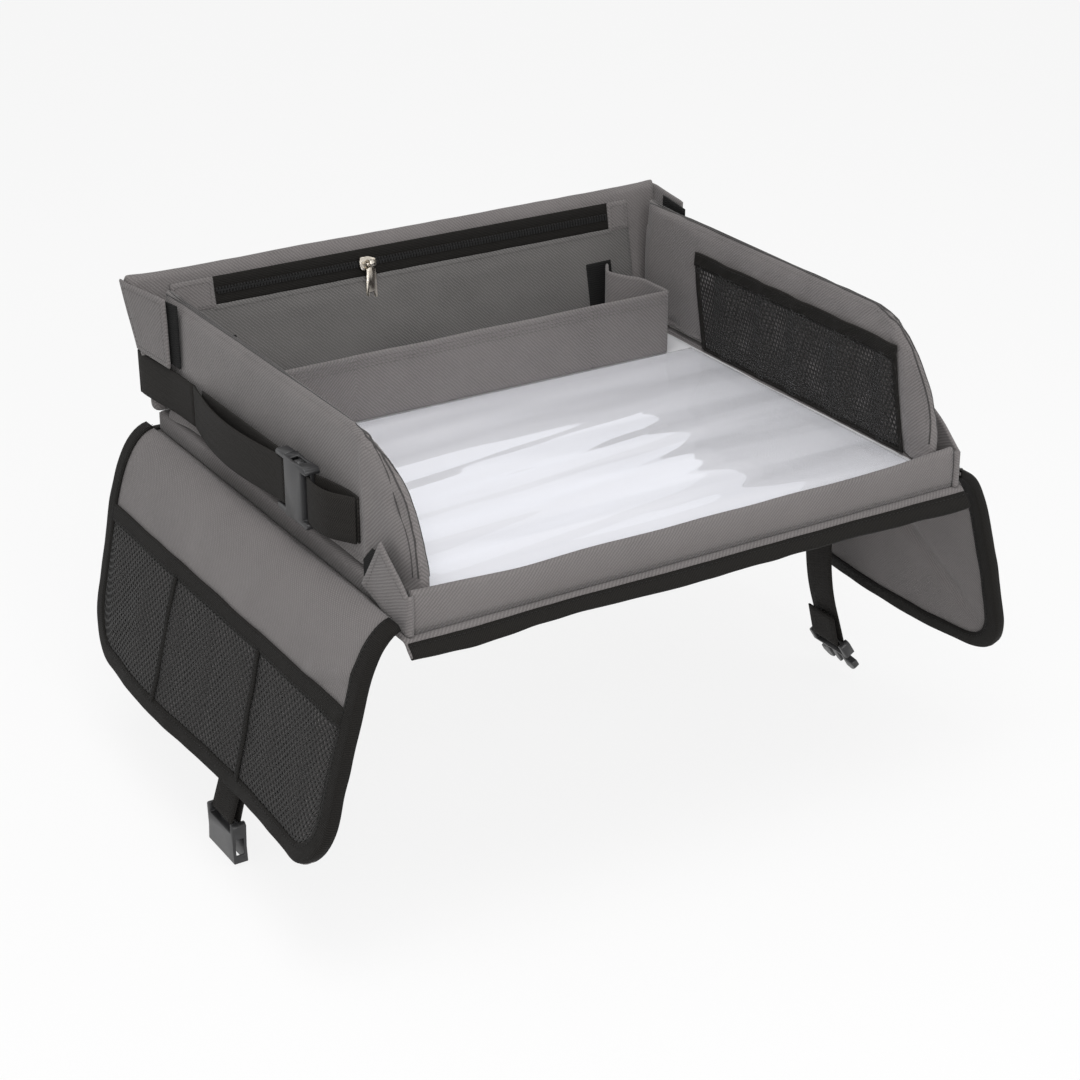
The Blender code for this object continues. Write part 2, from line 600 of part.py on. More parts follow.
def inner_face(side, z, off):
    """A point's x in front of the inner face of a full-height side wall."""
    profile = sorted((point.z, abs(point.x)) for point in wall_ring(RIGHT, 0, WALL_TOP)[6:9])
    for (low, near), (high, far) in zip(profile, profile[1:]):
        if z <= high or high == profile[-1][0]:
            return side * (near + (far - near) * (z - low) / (high - low) - off)


def make_inner_net(side, label, pivot):
    stand = SLIP

    def at(u, v, face):
        y = INNER_NET_FRONT + (INNER_NET_BACK - INNER_NET_FRONT) * u - INNER_NET_SKEW * (1 - v)
        z = INNER_NET_LOW + (INNER_NET_HIGH - INNER_NET_LOW) * v
        return Vector((inner_face(side, z, stand + NET_THICK * face), y, z))

    net = net_solid(at, net_rows(0, 1, INNER_NET_COLUMNS + 1), net_rows(0, 1, INNER_NET_ROWS + 1))
    pocket = piece(label + "_wall_net", net, "black_mesh", pivot)
    low = INNER_NET_HIGH - NET_THICK
    high = low + INNER_EDGE_HEIGHT
    ring = [(INNER_NET_FRONT, low), (INNER_NET_BACK, low), (INNER_NET_BACK + TAPE_THICK, high),
            (INNER_NET_FRONT + TAPE_THICK, high)]
    elastic = [[Vector((inner_face(side, z, off), y, z)) for y, z in ring]
               for off in (stand, stand + CLOTH_THICK)]
    join(pocket, loft(elastic), label + "_net_elastic")


# Back wall, flaps and zipped pocket

def back_pivot():
    return (0, TRAY_BACK, WALL_BOTTOM)


def on_back(x, height, off):
    """A point on the leaning front face: x, height up the face, distance in front of it."""
    y = BACK_FRONT + height * sin(BACK_LEAN) - off * cos(BACK_LEAN)
    return Vector((x, y, WALL_BOTTOM + height * cos(BACK_LEAN) + off * sin(BACK_LEAN)))


def back_slab(x, height, off):
    """A slab on the back wall's front face between pairs of limits."""
    ring = [(x[0], height[0]), (x[1], height[0]), (x[1], height[1]), (x[0], height[1])]
    return [[on_back(a, h, n) for a, h in ring] for n in off]


def back_half_width(z):
    share = (z - WALL_BOTTOM) / (BACK_TOP - WALL_BOTTOM)
    return BACK_HALF_WIDTH + (BACK_TOP_HALF_WIDTH - BACK_HALF_WIDTH) * share


def back_outline():
    """Side view of the back wall, as (y, z): it leans back and thins towards its round crest."""
    high, radius = BACK_TOP - BACK_CREST / 2, BACK_CREST / 2
    crest = (BACK_FRONT + (high - WALL_BOTTOM) * tan(BACK_LEAN) + radius, high)
    return [(BACK_FRONT, WALL_BOTTOM), (TRAY_BACK, WALL_BOTTOM)] + arc(crest, radius, 0, pi, 6)


def leaning_slab(half_width, half_thick, low, high):
    """A slab inside the back wall, parallel to its faces and level at both ends."""
    middle, reach = TRAY_BACK - BACK_FOOT / 2, half_thick / cos(BACK_LEAN)
    rings = []
    for z in (low, high):
        y = middle + (z - WALL_BOTTOM) * tan(BACK_LEAN)
        ring = [(-half_width, y - reach), (half_width, y - reach), (half_width, y + reach),
                (-half_width, y + reach)]
        rings.append([Vector((a, b, z)) for a, b in ring])
    return loft(rings)


def make_back_wall():
    pivot = back_pivot()
    outline = back_outline()
    rings = [[Vector((share * back_half_width(z), y, z)) for y, z in outline] for share in (-1, 1)]
    cover = piece("back_wall_cover", loft(rings), "grey_cloth", pivot)
    tall, width = BACK_TOP - BACK_BOARD_MARGIN, BACK_HALF_WIDTH - BACK_BOARD_MARGIN
    board = leaning_slab(width, BOARD_THICK / 2, WALL_BOTTOM + FIT, tall)
    piece("back_wall_board", board, "white_board", pivot)
    sleeve = leaning_slab(width + SLIP, BOARD_THICK / 2 + SLIP, WALL_BOTTOM - OVERRUN, tall + SLIP)
    cut(cover, sleeve, "back_wall_sleeve")
    for side, label in ((LEFT, "left"), (RIGHT, "right")):
        make_flap(side, label)
    make_zipped_pocket(pivot)


def back_edge(z):
    """y of the back wall's rear face at a height."""
    high = BACK_TOP - BACK_CREST / 2
    top = BACK_FRONT + (high - WALL_BOTTOM) * tan(BACK_LEAN) + BACK_CREST
    return TRAY_BACK + (top - TRAY_BACK) * (z - WALL_BOTTOM) / (high - WALL_BOTTOM)


def flap_knee(z):
    """y where a flap leaves the back wall's end and turns in towards the side wall."""
    return BACK_FRONT + (z - WALL_BOTTOM) * tan(BACK_LEAN) - FIT


def flap_point(side, y, z, off):
    """A point on a flap's inner face, or off it by a distance outwards."""
    root, end = back_half_width(z) + FIT, HOOK_FACE + TAPE_THICK + SLIP
    share = min(max((flap_knee(z) - y) / (flap_knee(z) - HOOK_FRONT), 0), 1)
    return Vector((side * (root + (end - root) * share + off), y, z))


def skin(at, rows, faces):
    """A closed skin between two faces, over a grid of rows of (a, b)."""
    bm = bmesh.new()
    layers = [[[bm.verts.new(at(a, b, off)) for a, b in row] for row in rows] for off in faces]
    last, wide = len(rows) - 1, len(rows[0]) - 1
    for layer in layers:
        for i in range(last):
            for j in range(wide):
                bm.faces.new((layer[i][j], layer[i][j + 1], layer[i + 1][j + 1], layer[i + 1][j]))
    rim = [(0, j) for j in range(wide)] + [(i, wide) for i in range(last)]
    rim += [(last, j) for j in range(wide, 0, -1)] + [(i, 0) for i in range(last, 0, -1)]
    for (a, b), (c, d) in zip(rim, rim[1:] + rim[:1]):
        bm.faces.new((layers[0][a][b], layers[0][c][d], layers[1][c][d], layers[1][a][b]))
    return bm


def flap_rows(front, back, low, high):
    """Grid of a flap or its hook strip: level rows with places between front and back."""
    steps, rows = 4, []
    for i in range(steps + 1):
        z = low + (high - low) * i / steps
        near, knee = front(z), back(z)
        row = [(near + (knee - near) * j / steps, z) for j in range(steps + 1)]
        rows.append(row)
    return rows


def make_flap(side, label):
    def at(y, z, off):
        return flap_point(side, y, z, off)

    rows = flap_rows(lambda z: FLAP_FRONT, flap_knee, FLAP_LOW, FLAP_HIGH)
    rows = [row + [(back_edge(row[0][1]), row[0][1])] for row in rows]
    pivot = flap_point(side, back_edge(FLAP_LOW), FLAP_LOW, 0)
    piece("back_flap_" + label, skin(at, rows, (0, FLAP_THICK)), "grey_cloth", pivot)
    rows = flap_rows(lambda z: HOOK_FRONT, lambda z: HOOK_BACK, HOOK_LOW, HOOK_HIGH)
    piece("flap_hook_" + label, skin(at, rows, (-SLIP - TAPE_THICK, -SLIP)), "black_tape", pivot)


def make_zipped_pocket(pivot):
    high = ZIP_LOW + 2 * ZIP_TAPE + ZIP_CHAIN
    wide = POCKET_HALF_WIDTH
    left, right = ZIP_SHIFT - ZIP_HALF_LENGTH, ZIP_SHIFT + ZIP_HALF_LENGTH
    outline = [(-wide, POCKET_HEM), (wide, POCKET_HEM), (wide, high), (right, high),
               (right, ZIP_LOW - FIT), (left, ZIP_LOW - FIT), (left, high), (-wide, high)]
    front = [[on_back(x, h, n) for x, h in outline] for n in (FIT, FIT + CLOTH_THICK)]
    piece("zip_pocket_front", loft(front), "grey_cloth", pivot)
    make_zipper_half(LEFT, "lower", pivot)
    make_zipper_half(RIGHT, "upper", pivot)
    make_slider()


def tooth_row(side):
    """One half of the chain: a bead on the tape's edge with a tooth in every pitch."""
    middle = ZIP_LOW + ZIP_TAPE + ZIP_CHAIN / 2
    bead_out = middle + side * (ZIP_CHAIN / 2 + TOOTH_BEAD)
    bead_in = middle + side * (ZIP_CHAIN / 2 - TOOTH_BEAD)
    tip = middle - side * (ZIP_CHAIN / 2 - TOOTH_BEAD - 2 * FIT)
    count = int((2 * ZIP_HALF_LENGTH - 2 * TOOTH_PITCH) / TOOTH_PITCH)
    start = ZIP_SHIFT - count * TOOTH_PITCH / 2 + (TOOTH_PITCH / 4) * side
    line = [(start - TOOTH_WIDTH, bead_out), (start - TOOTH_WIDTH, bead_in)]
    for i in range(count):
        at = start + i * TOOTH_PITCH
        neck, head = TOOTH_WIDTH * TOOTH_NECK_SHARE, TOOTH_WIDTH / 2
        line += [(at - neck, bead_in), (at - head, tip), (at + head, tip), (at + neck, bead_in)]
    end = start + (count - 1) * TOOTH_PITCH + TOOTH_WIDTH
    line += [(end, bead_in), (end, bead_out)]
    return line


def make_zipper_half(side, label, pivot):
    """One tape with its moulded teeth."""
    edge = ZIP_LOW + ZIP_TAPE if side == LEFT else ZIP_LOW + ZIP_TAPE + ZIP_CHAIN
    long = ZIP_HALF_LENGTH - FIT
    rows = sorted((edge, edge + side * ZIP_TAPE))
    tape = back_slab((ZIP_SHIFT - long, ZIP_SHIFT + long), rows, (FIT, FIT + TAPE_THICK))
    half = piece("zipper_half_" + label, loft(tape), "black_tape", pivot)
    line = tooth_row(side)
    join(half, loft([[on_back(x, h, n) for x, h in line] for n in (FIT * 1.5, FIT + TOOTH_HEIGHT)]),
         "zipper_teeth_" + label)


def make_slider():
    middle = ZIP_LOW + ZIP_TAPE + ZIP_CHAIN / 2
    pivot = on_back(SLIDER_AT, middle, 0)
    low = FIT + TOOTH_HEIGHT + FIT
    high = low + SLIDER_PLATE
    inner = ZIP_CHAIN / 2 + TOOTH_BEAD + FIT
    half = inner + SLIDER_FLANGE
    length = SLIDER_LENGTH / 2
    shares = [(-1.0, 0.45), (-0.80, 1.0), (0.10, 1.0), (0.80, 0.62), (1.0, 0.30)]
    outline = [(SLIDER_AT + length * a, middle + half * b) for a, b in shares]
    outline += [(SLIDER_AT + length * a, middle - half * b) for a, b in reversed(shares)]
    slider = piece("zipper_slider", loft([[on_back(x, h, n) for x, h in outline] for n in (low, high)]),
                   "nickel", pivot)
    guide = FIT + TAPE_THICK + FIT
    for side in (LEFT, RIGHT):
        x = [SLIDER_AT + length * share for share in GUIDE_SHARES]
        rows = sorted((middle + side * inner, middle + side * half))
        flange = back_slab(x, rows, (guide, high - FIT))
        join(slider, loft(flange), "slider_guide_%d" % side)
    arm = BRIDGE_BAR / 2
    reach = BRIDGE_HEIGHT + high
    for side in (LEFT, RIGHT):
        at = SLIDER_AT + side * (PULL_EYE / 2 + arm + FIT)
        post = back_slab((at - arm, at + arm), (middle - arm, middle + arm), (high - FIT, reach))
        join(slider, loft(post), "slider_post_%d" % side)
    span = PULL_EYE / 2 + 2 * arm + FIT
    bar = back_slab((SLIDER_AT - span, SLIDER_AT + span), (middle - arm, middle + arm),
                    (reach - BRIDGE_BAR, reach))
    join(slider, loft(bar), "slider_bar")
    make_puller(middle, reach - arm)


def make_puller(middle, bar_off):
    """A flat tab that hangs plumb, with an eye round the slider's bar."""
    pivot = on_back(SLIDER_AT, middle, bar_off)

    def at(x, down, out):
        return Vector((pivot.x + x, pivot.y - out, pivot.z - down))

    half, eye, thick = PULL_WIDTH / 2, PULL_EYE / 2 - FIT, PULL_THICK / 2
    ring = BRIDGE_BAR * sqrt(0.5) + FIT
    hook = ring + PULL_THICK
    neck = hook + PULL_THICK
    end_shares = [(-1.0, 0.90), (-0.72, 0.98), (-0.3, 1.0), (0.3, 1.0), (0.72, 0.98), (1.0, 0.90)]
    outline = [(half * a, PULL_LENGTH * b) for a, b in end_shares]
    outline += [(half * NECK_SHARE, neck), (eye, hook), (-eye, hook), (-half * NECK_SHARE, neck)]
    tab = [[at(x, down, out) for x, down in outline] for out in (-thick, thick)]
    puller = piece("zipper_puller", loft(tab), "nickel", pivot)
    loops, eye_body = [], bmesh.new()
    for x, radius in ((-eye, hook), (eye, hook), (eye, ring), (-eye, ring)):
        round_points = arc((0, 0), radius, 0, 2 * pi, 16)[:-1]
        loops.append([eye_body.verts.new(at(x, down, out)) for down, out in round_points])
    for a, b in zip(loops, loops[1:] + loops[:1]):
        for i in range(len(a)):
            j = (i + 1) % len(a)
            eye_body.faces.new((a[i], a[j], b[j], b[i]))
    join(puller, eye_body, "puller_eye")
    stem = [(-eye, ring + PULL_THICK / 2), (eye, ring + PULL_THICK / 2), (eye, neck), (-eye, neck)]
    neck_body = loft([[at(x, down, out) for x, down in stem] for out in (-thick, thick)])
    join(puller, neck_body, "puller_neck")
    window_shares = [(-0.45, 0.72), (0.45, 0.72), (0.45, 0.86), (0.2, 0.90), (-0.2, 0.90), (-0.45, 0.86)]
    hole = [(half * a, PULL_LENGTH * b) for a, b in window_shares]
    through = loft([[at(x, down, out) for x, down in hole] for out in (-PULL_THICK, PULL_THICK)])
    cut(puller, through, "puller_window")


# Organiser bin

def make_organiser():
    low, high = WALL_BOTTOM + FIT, ORGANISER_TOP
    y = (ORGANISER_FRONT, ORGANISER_FRONT + ORGANISER_PLY)
    x = ORGANISER_MIDDLE - FIT
    middle = (y[0] + y[1]) / 2
    outline = [(y[0], low), (y[1], low), (y[1], high - ORGANISER_PLY / 2)]
    outline += arc((middle, high - ORGANISER_PLY / 2), ORGANISER_PLY / 2, 0, pi, 4)[1:]
    piece("organiser_front", along_x(outline, (-x, x)), "grey_cloth")
    for side, label in ((LEFT, "left"), (RIGHT, "right")):
        make_organiser_end(side, label, low, high)
        x = sorted((side * (PATCH_OUTER - PATCH_WIDTH), side * PATCH_OUTER))
        off = 2 * FIT + CLOTH_THICK
        patch = back_slab(x, (PATCH_LOW, PATCH_HIGH), (off, off + TAPE_THICK))
        piece("organiser_patch_" + label, loft(patch), "black_tape", back_pivot())


def make_organiser_end(side, label, low, high):
    """The end of the bin: the front panel turns back and folds in as one pleat."""
    half = ORGANISER_PLY / 2
    front = ORGANISER_FRONT + half
    off = 3 * FIT + CLOTH_THICK + TAPE_THICK + ORGANISER_PLY / 2
    rest = on_back(0, PATCH_LOW, off).y - ORGANISER_PLY
    depth = rest - front
    shares = [(0, -1), (0.44, 0.10), (0.78, 1.0), (1.0, 0.35)]
    corner = (ORGANISER_END - half * ORGANISER_FOLD_SHARE, front + half)
    plan = [(ORGANISER_MIDDLE, front), (ORGANISER_END - ORGANISER_PLY, front), corner,
            (ORGANISER_END, front + ORGANISER_PLY)]
    plan += [(ORGANISER_END - ORGANISER_PLEAT * b, front + depth * a) for a, b in shares[1:]]
    left, right = offset_line(plan, half)
    outline = [(side * a, b) for a, b in left + right[::-1]]
    piece("organiser_end_" + label, loft([[Vector((a, b, z)) for a, b in outline] for z in (low, high)]),
          "grey_cloth")


def offset_line(points, half):
    """Both sides of a line in plan, mitred at its corners."""
    left, right = [], []
    for i, point in enumerate(points):
        here = Vector(point)
        before = (here - Vector(points[i - 1])).normalized() if i else None
        after = (Vector(points[i + 1]) - here).normalized() if i + 1 < len(points) else None
        first, second = before or after, after or before
        n1, n2 = Vector((-first.y, first.x)), Vector((-second.y, second.x))
        mitre = (n1 + n2).normalized()
        reach = half / max(mitre.dot(n1), 0.5)
        left.append(tuple(here + mitre * reach))
        right.append(tuple(here - mitre * reach))
    return left, right


# Wings

def wing_tilt(s):
    """Angle from the vertical of the hanging cloth, a distance down from the hinge line."""
    return WING_HANG_TILT + (WING_FIRST_TILT - WING_HANG_TILT) * exp(-s / WING_BEND)


def wing_profile(s):
    """How far out and down the cloth has come, summed in short steps."""
    steps = 40
    out = down = 0.0
    for i in range(steps):
        tilt = wing_tilt(s * (i + 0.5) / steps)
        out += sin(tilt) * s / steps
        down += cos(tilt) * s / steps
    return out, down


def wing_fold(y, s):
    """Soft folds that grow towards the bottom edge."""
    share = max(s - WING_NET_TOP, 0) / (WING_DROP - WING_NET_TOP)
    return WING_FOLD * share * sin(WING_FOLD_COUNT * 2 * pi * y / (2 * WING_HALF_DEPTH))


def wing_point(side, y, s, off):
    """A point on a wing: depth y, distance down the cloth, distance out of its middle face."""
    out, down = wing_profile(s)
    tilt = wing_tilt(s)
    thinner = (WING_THICK - WING_ROOT_THICK) / 2 * exp(-s / WING_BEND)
    off += wing_fold(y, s) - (thinner if off > 0 else -thinner if off < 0 else 0)
    out += off * cos(tilt)
    down -= off * sin(tilt)
    return Vector((side * (WING_LINE + out), y, WING_LEVEL - down))


def wing_pivot(side):
    return (side * WING_LINE, 0, WING_LEVEL)


def wing_end(y, inset):
    """How far down the outline reaches at a depth, with its two rounded corners."""
    half, drop, corner = WING_HALF_DEPTH - inset, WING_DROP - inset, WING_CORNER - inset
    into = corner - (half - min(abs(y), half))
    if into <= 0:
        return drop
    return drop - corner + sqrt(max(corner * corner - into * into, 0))


def shoulder_stations(start, end):
    """Places down the cloth, closer together where the shoulder bends."""
    steps = 10
    return [start + (end - start) * (i / steps) ** SHOULDER_SPACING_SHARE for i in range(steps + 1)]


def depth_stations(inset):
    """Places across a wing's depth, closer together at its rounded corners."""
    half, corner = WING_HALF_DEPTH - inset, WING_CORNER - inset
    turn = [-half + corner * (1 - cos(pi / 2 * i / 5)) for i in range(5)]
    flat = [-half + corner + 2 * (half - corner) * i / 9 for i in range(10)]
    return turn + flat + [-y for y in reversed(turn)]


def wing_solid(side, rows, faces):
    """A closed skin of a wing over a grid of (y, s) rows."""
    return skin(lambda y, s, off: wing_point(side, y, s, off), rows, faces)


def make_wing(side, label):
    pivot = wing_pivot(side)
    inset = TAPE_THICK + SLIP
    half = WING_THICK / 2
    turn = WING_DROP - WING_CORNER
    straight = shoulder_stations(WING_START, turn)
    rows = []
    for y in depth_stations(inset):
        below = max(wing_end(y, inset) - turn, FIT)
        rows.append([(y, s) for s in straight] + [(y, turn + below / 2), (y, turn + below)])
    piece(label + "_wing_panel", wing_solid(side, rows, (-half, half)), "grey_cloth", pivot)
    make_wing_binding(side, label, pivot, straight)
    make_wing_pocket(side, label, pivot)


def binding_path(straight):
    """The wing's edge as (y, s) with its inward direction: front, round the bottom, back."""
    half, drop, corner = WING_HALF_DEPTH, WING_DROP, WING_CORNER
    path = [((-half, s), (1, 0)) for s in straight[:-1]]
    steps = 7
    for i in range(steps + 1):
        turn = pi / 2 * i / steps
        path.append(((-half + corner - corner * cos(turn), drop - corner + corner * sin(turn)),
                     (cos(turn), -sin(turn))))
    flat = [-half + corner + 2 * (half - corner) * i / 9 for i in range(1, 9)]
    path += [((y, drop), (0, -1)) for y in flat]
    for i in range(steps + 1):
        turn = pi / 2 * (1 - i / steps)
        path.append(((half - corner + corner * cos(turn), drop - corner + corner * sin(turn)),
                     (-cos(turn), -sin(turn))))
    path += [((half, s), (-1, 0)) for s in reversed(straight[:-1])]
    return path


def make_wing_binding(side, label, pivot, straight):
    """Bias tape folded round the wing's edge, open towards the panel."""
    inner = WING_THICK / 2 + SLIP
    outer = inner + TAPE_THICK
    fold = TAPE_THICK
    section = [(BIND_WIDTH, outer), (0, outer), (0, -outer), (BIND_WIDTH, -outer), (BIND_WIDTH, -inner),
               (fold, -inner), (fold, inner), (BIND_WIDTH, inner)]
    rings = []
    for (y, s), (ny, ns) in binding_path(straight):
        rings.append([wing_point(side, y + a * ny, s + a * ns, off) for a, off in section])
    piece(label + "_wing_binding", loft(rings), "black_tape", pivot)


def make_wing_pocket(side, label, pivot):
    """The mesh pocket on a wing's outer face and the tape along its mouth."""
    stand = WING_THICK / 2 + FIT
    inset = BIND_WIDTH + FIT
    half = WING_HALF_DEPTH - inset
    top = WING_NET_TOP + WING_EDGE_HEIGHT + FIT

    def at(u, v, face):
        y = -half + 2 * half * u
        end = wing_end(y, inset)
        return wing_point(side, y, top + (end - top) * v, stand + NET_THICK * face)

    net = net_solid(at, net_rows(0, 1, WING_NET_COLUMNS + 1), net_rows(0, 1, WING_NET_ROWS + 1))
    piece(label + "_wing_net", net, "black_mesh", pivot)
    across = [-half + 2 * half * i / 12 for i in range(13)]
    rows = [[(y, WING_NET_TOP), (y, WING_NET_TOP + WING_EDGE_HEIGHT)] for y in across]
    piece(label + "_wing_pocket_edge", wing_solid(side, rows, (stand, stand + CLOTH_THICK)),
          "black_tape", pivot)


# Side-release buckles, built in their own frame: u along the strap, v across it, w out of it

def buckle_frame(origin, along, out):
    """Matrix from buckle coordinates to the tray, with v across the strap."""
    u, w = Vector(along).normalized(), Vector(out).normalized()
    v = w.cross(u)
    frame = Matrix((u, v, w)).transposed().to_4x4()
    frame.translation = Vector(origin)
    return frame


def buckle_slab(frame, outline, w):
    return loft([[frame @ Vector((u, v, h)) for u, v in outline] for h in w])


def rectangle(u, v):
    return [(u[0], v[0]), (u[1], v[0]), (u[1], v[1]), (u[0], v[1])]


def buckle_male(name, frame, pivot):
    """Ladder frame with two bars and the guide tongue between the prongs."""
    wide, thick = BUCKLE_HALF_WIDTH, BUCKLE_HALF_THICK * MALE_THICK_SHARE
    chamfer = BUCKLE_BAR
    outline = [(0, -wide + chamfer), (chamfer, -wide), (BUCKLE_FRAME, -wide), (BUCKLE_FRAME, wide),
               (chamfer, wide), (0, wide - chamfer)]
    male = piece(name, buckle_slab(frame, outline, (-thick, thick)), "black_plastic", pivot)
    bar = BUCKLE_BAR
    slot = (BUCKLE_FRAME - 3 * bar) / 2
    for i in range(2):
        start = bar + i * (slot + bar)
        hole = rectangle((start, start + slot), (-BUCKLE_SLOT_HALF, BUCKLE_SLOT_HALF))
        cut(male, buckle_slab(frame, hole, (-thick - OVERRUN, thick + OVERRUN)), "%s_slot_%d" % (name, i))
    relief = rectangle((-OVERRUN, 2 * bar + 2 * slot), (-BUCKLE_SLOT_HALF, BUCKLE_SLOT_HALF))
    for side in (LEFT, RIGHT):
        lift = sorted((side * BAR_HALF_THICK, side * (thick + OVERRUN)))
        cut(male, buckle_slab(frame, relief, lift), "%s_relief_%d" % (name, side))
    shoulder, tip = [BUCKLE_FRAME + PRONG_REACH * share for share in TONGUE_SHARES]
    tongue = [(BUCKLE_FRAME - FIT, -TONGUE_HALF), (shoulder, -TONGUE_HALF), (tip, 0), (shoulder, TONGUE_HALF),
              (BUCKLE_FRAME - FIT, TONGUE_HALF)]
    join(male, buckle_slab(frame, tongue, (-PRONG_THICK / 2, PRONG_THICK / 2)), name + "_tongue")
    return male


def buckle_prong(name, frame, side):
    """One sprung arm: a thin root, a shoulder that locks in the window, a rounded tip."""
    pivot = frame @ Vector((BUCKLE_FRAME + FIT, side * PRONG_ROOT, 0))
    reach, shoulder = PRONG_REACH, BUCKLE_HALF_WIDTH - BUCKLE_WALL / 2
    shares = [(0, 0), (0.35, 0.02), (0.46, 0.95), (0.74, 1.0), (0.95, 0.45), (1.0, 0.12)]
    outer = PRONG_ROOT + BUCKLE_BAR
    line = [(BUCKLE_FRAME + FIT + reach * a, side * (outer + (shoulder - outer) * b)) for a, b in shares]
    inner = PRONG_ROOT - BUCKLE_BAR
    line += [(BUCKLE_FRAME + FIT + reach - BUCKLE_BAR, side * inner), (BUCKLE_FRAME + FIT, side * inner)]
    piece(name, buckle_slab(frame, line, (-PRONG_THICK / 2, PRONG_THICK / 2)), "black_plastic", pivot)


def buckle_female(name, frame, pivot):
    """Open-mouthed body with two side windows, and the slot and bar that the webbing loops round."""
    wide, thick = BUCKLE_HALF_WIDTH, BUCKLE_HALF_THICK
    start = BUCKLE_FRAME + FIT
    body_end = start + BUCKLE_BODY
    end = body_end + BUCKLE_TAIL
    waist, half_way = wide - BUCKLE_WALL * WAIST_SHARE, start + BUCKLE_BODY / 2
    outline = [(start, -wide), (half_way, -waist), (end - BUCKLE_BAR, -wide), (end, -wide + BUCKLE_BAR),
               (end, wide - BUCKLE_BAR), (end - BUCKLE_BAR, wide), (half_way, waist), (start, wide)]
    body = piece(name, buckle_slab(frame, outline, (-thick, thick)), "black_plastic", pivot)
    hollow = wide - BUCKLE_WALL
    inside = PRONG_THICK / 2 + FIT
    cavity = rectangle((start - OVERRUN, body_end - BUCKLE_WALL), (-hollow, hollow))
    cut(body, buckle_slab(frame, cavity, (-inside, inside)), name + "_cavity")
    reach = [start + BUCKLE_BODY * share for share in WINDOW_SHARES]
    window = rectangle(reach, (-wide - OVERRUN, wide + OVERRUN))
    cut(body, buckle_slab(frame, window, (-inside, inside)), name + "_windows")
    slot = rectangle((body_end, end - BUCKLE_BAR), (-BUCKLE_SLOT_HALF, BUCKLE_SLOT_HALF))
    cut(body, buckle_slab(frame, slot, (-thick - OVERRUN, thick + OVERRUN)), name + "_slot")
    relief = rectangle((body_end, end + OVERRUN), (-BUCKLE_SLOT_HALF, BUCKLE_SLOT_HALF))
    for side in (LEFT, RIGHT):
        lift = sorted((side * BAR_HALF_THICK, side * (thick + OVERRUN)))
        cut(body, buckle_slab(frame, relief, lift), "%s_relief_%d" % (name, side))
    return body


# Upper strap, round the back and along the left wall to its buckle

def strap_face():
    """Distance from the centre to the middle of webbing that lies along a side wall."""
    return HOOK_FACE + WEB_THICK / 2 + FIT


def back_strap_points():
    face = strap_face()
    turn = WEB_THICK * 2
    lie = back_edge(STRAP_LEVEL + WEB_WIDTH / 2) + WEB_THICK / 2 + FIT + TAPE_THICK
    side_run = max(face, back_half_width(STRAP_LEVEL + WEB_WIDTH / 2) + FIT + WEB_THICK / 2 + SLIP)
    left = [(-face, STRAP_SPLIT + FIT), (-side_run, TRAY_BACK - turn)]
    corner = arc((-side_run + turn, lie - turn), turn, pi, pi / 2, 5)
    half = left + corner
    span_shares = (0.35, 0.7, 1.0)
    span = [(-side_run * (1 - share), lie + STRAP_SAG * sin(pi * share / 2)) for share in span_shares]
    mirrored = [(-x, y) for x, y in reversed(half + span[:-1])]
    return half + span + mirrored


def make_upper_strap():
    points = back_strap_points()
    piece("upper_strap_back", plan_band(points, [STRAP_LEVEL] * len(points), WEB_WIDTH / 2), "black_tape",
          back_pivot())
    face = strap_face()
    right = [(face, STRAP_SPLIT - FIT), (face, STRAP_RIGHT_END)]
    piece("upper_strap_right", plan_band(right, [STRAP_LEVEL] * 2, WEB_WIDTH / 2), "black_tape",
          wall_pivot(RIGHT))
    make_left_strap(face)
    make_upper_buckle()
    make_anchor()


def buckle_line():
    """Distance from the centre to the middle plane of the upper buckle."""
    return TRAY_HALF_WIDTH + BUCKLE_STAND


def make_left_strap(face):
    """The adjusting stretch: out along the wall, round the ladder bar and back as its tail."""
    mid = buckle_line()
    slot = (BUCKLE_FRAME - 3 * BUCKLE_BAR) / 2
    bar_at = BUCKLE_AT - (BUCKLE_BAR * 1.5 + slot)
    mouth = BUCKLE_AT + WEB_THICK
    start = STRAP_SPLIT - FIT
    outer, steps = [], 8
    for i in range(steps + 1):
        share = i / steps
        lift = (mid + WRAP - face) * share + STRAP_BULGE * sin(pi * share)
        outer.append((-(face + lift), start + (mouth - start) * share))
    bend = arc((-mid, bar_at), -WRAP, 0, pi, 6)
    tail, steps = [], 4
    for i in range(steps + 1):
        share = i / steps
        lie = face + WEB_THICK + FIT
        tail.append((-(mid - WRAP + (lie - mid + WRAP) * share), mouth + (TAIL_END - mouth) * share))
    level = STRAP_LEVEL + STRAP_RISE
    levels = [STRAP_LEVEL + STRAP_RISE * i / (len(outer) - 1) for i in range(len(outer))]
    levels += [level] * len(bend)
    levels += [level - STRAP_RISE * TAIL_SAG_SHARE * i / (len(tail) - 1) for i in range(len(tail))]
    piece("upper_strap_left", plan_band(outer + bend + tail, levels, WEB_WIDTH / 2), "black_tape",
          wall_pivot(LEFT))


def upper_frame():
    origin = (-buckle_line(), BUCKLE_AT, STRAP_LEVEL + STRAP_RISE)
    return buckle_frame(origin, (0, -1, 0), (-1, 0, 0))


def make_upper_buckle():
    frame = upper_frame()
    pivot = wall_pivot(LEFT)
    buckle_male("upper_buckle_male", frame, pivot)
    buckle_female("upper_buckle_female", frame, pivot)
    buckle_prong("upper_prong_top", frame, RIGHT)
    buckle_prong("upper_prong_bottom", frame, LEFT)


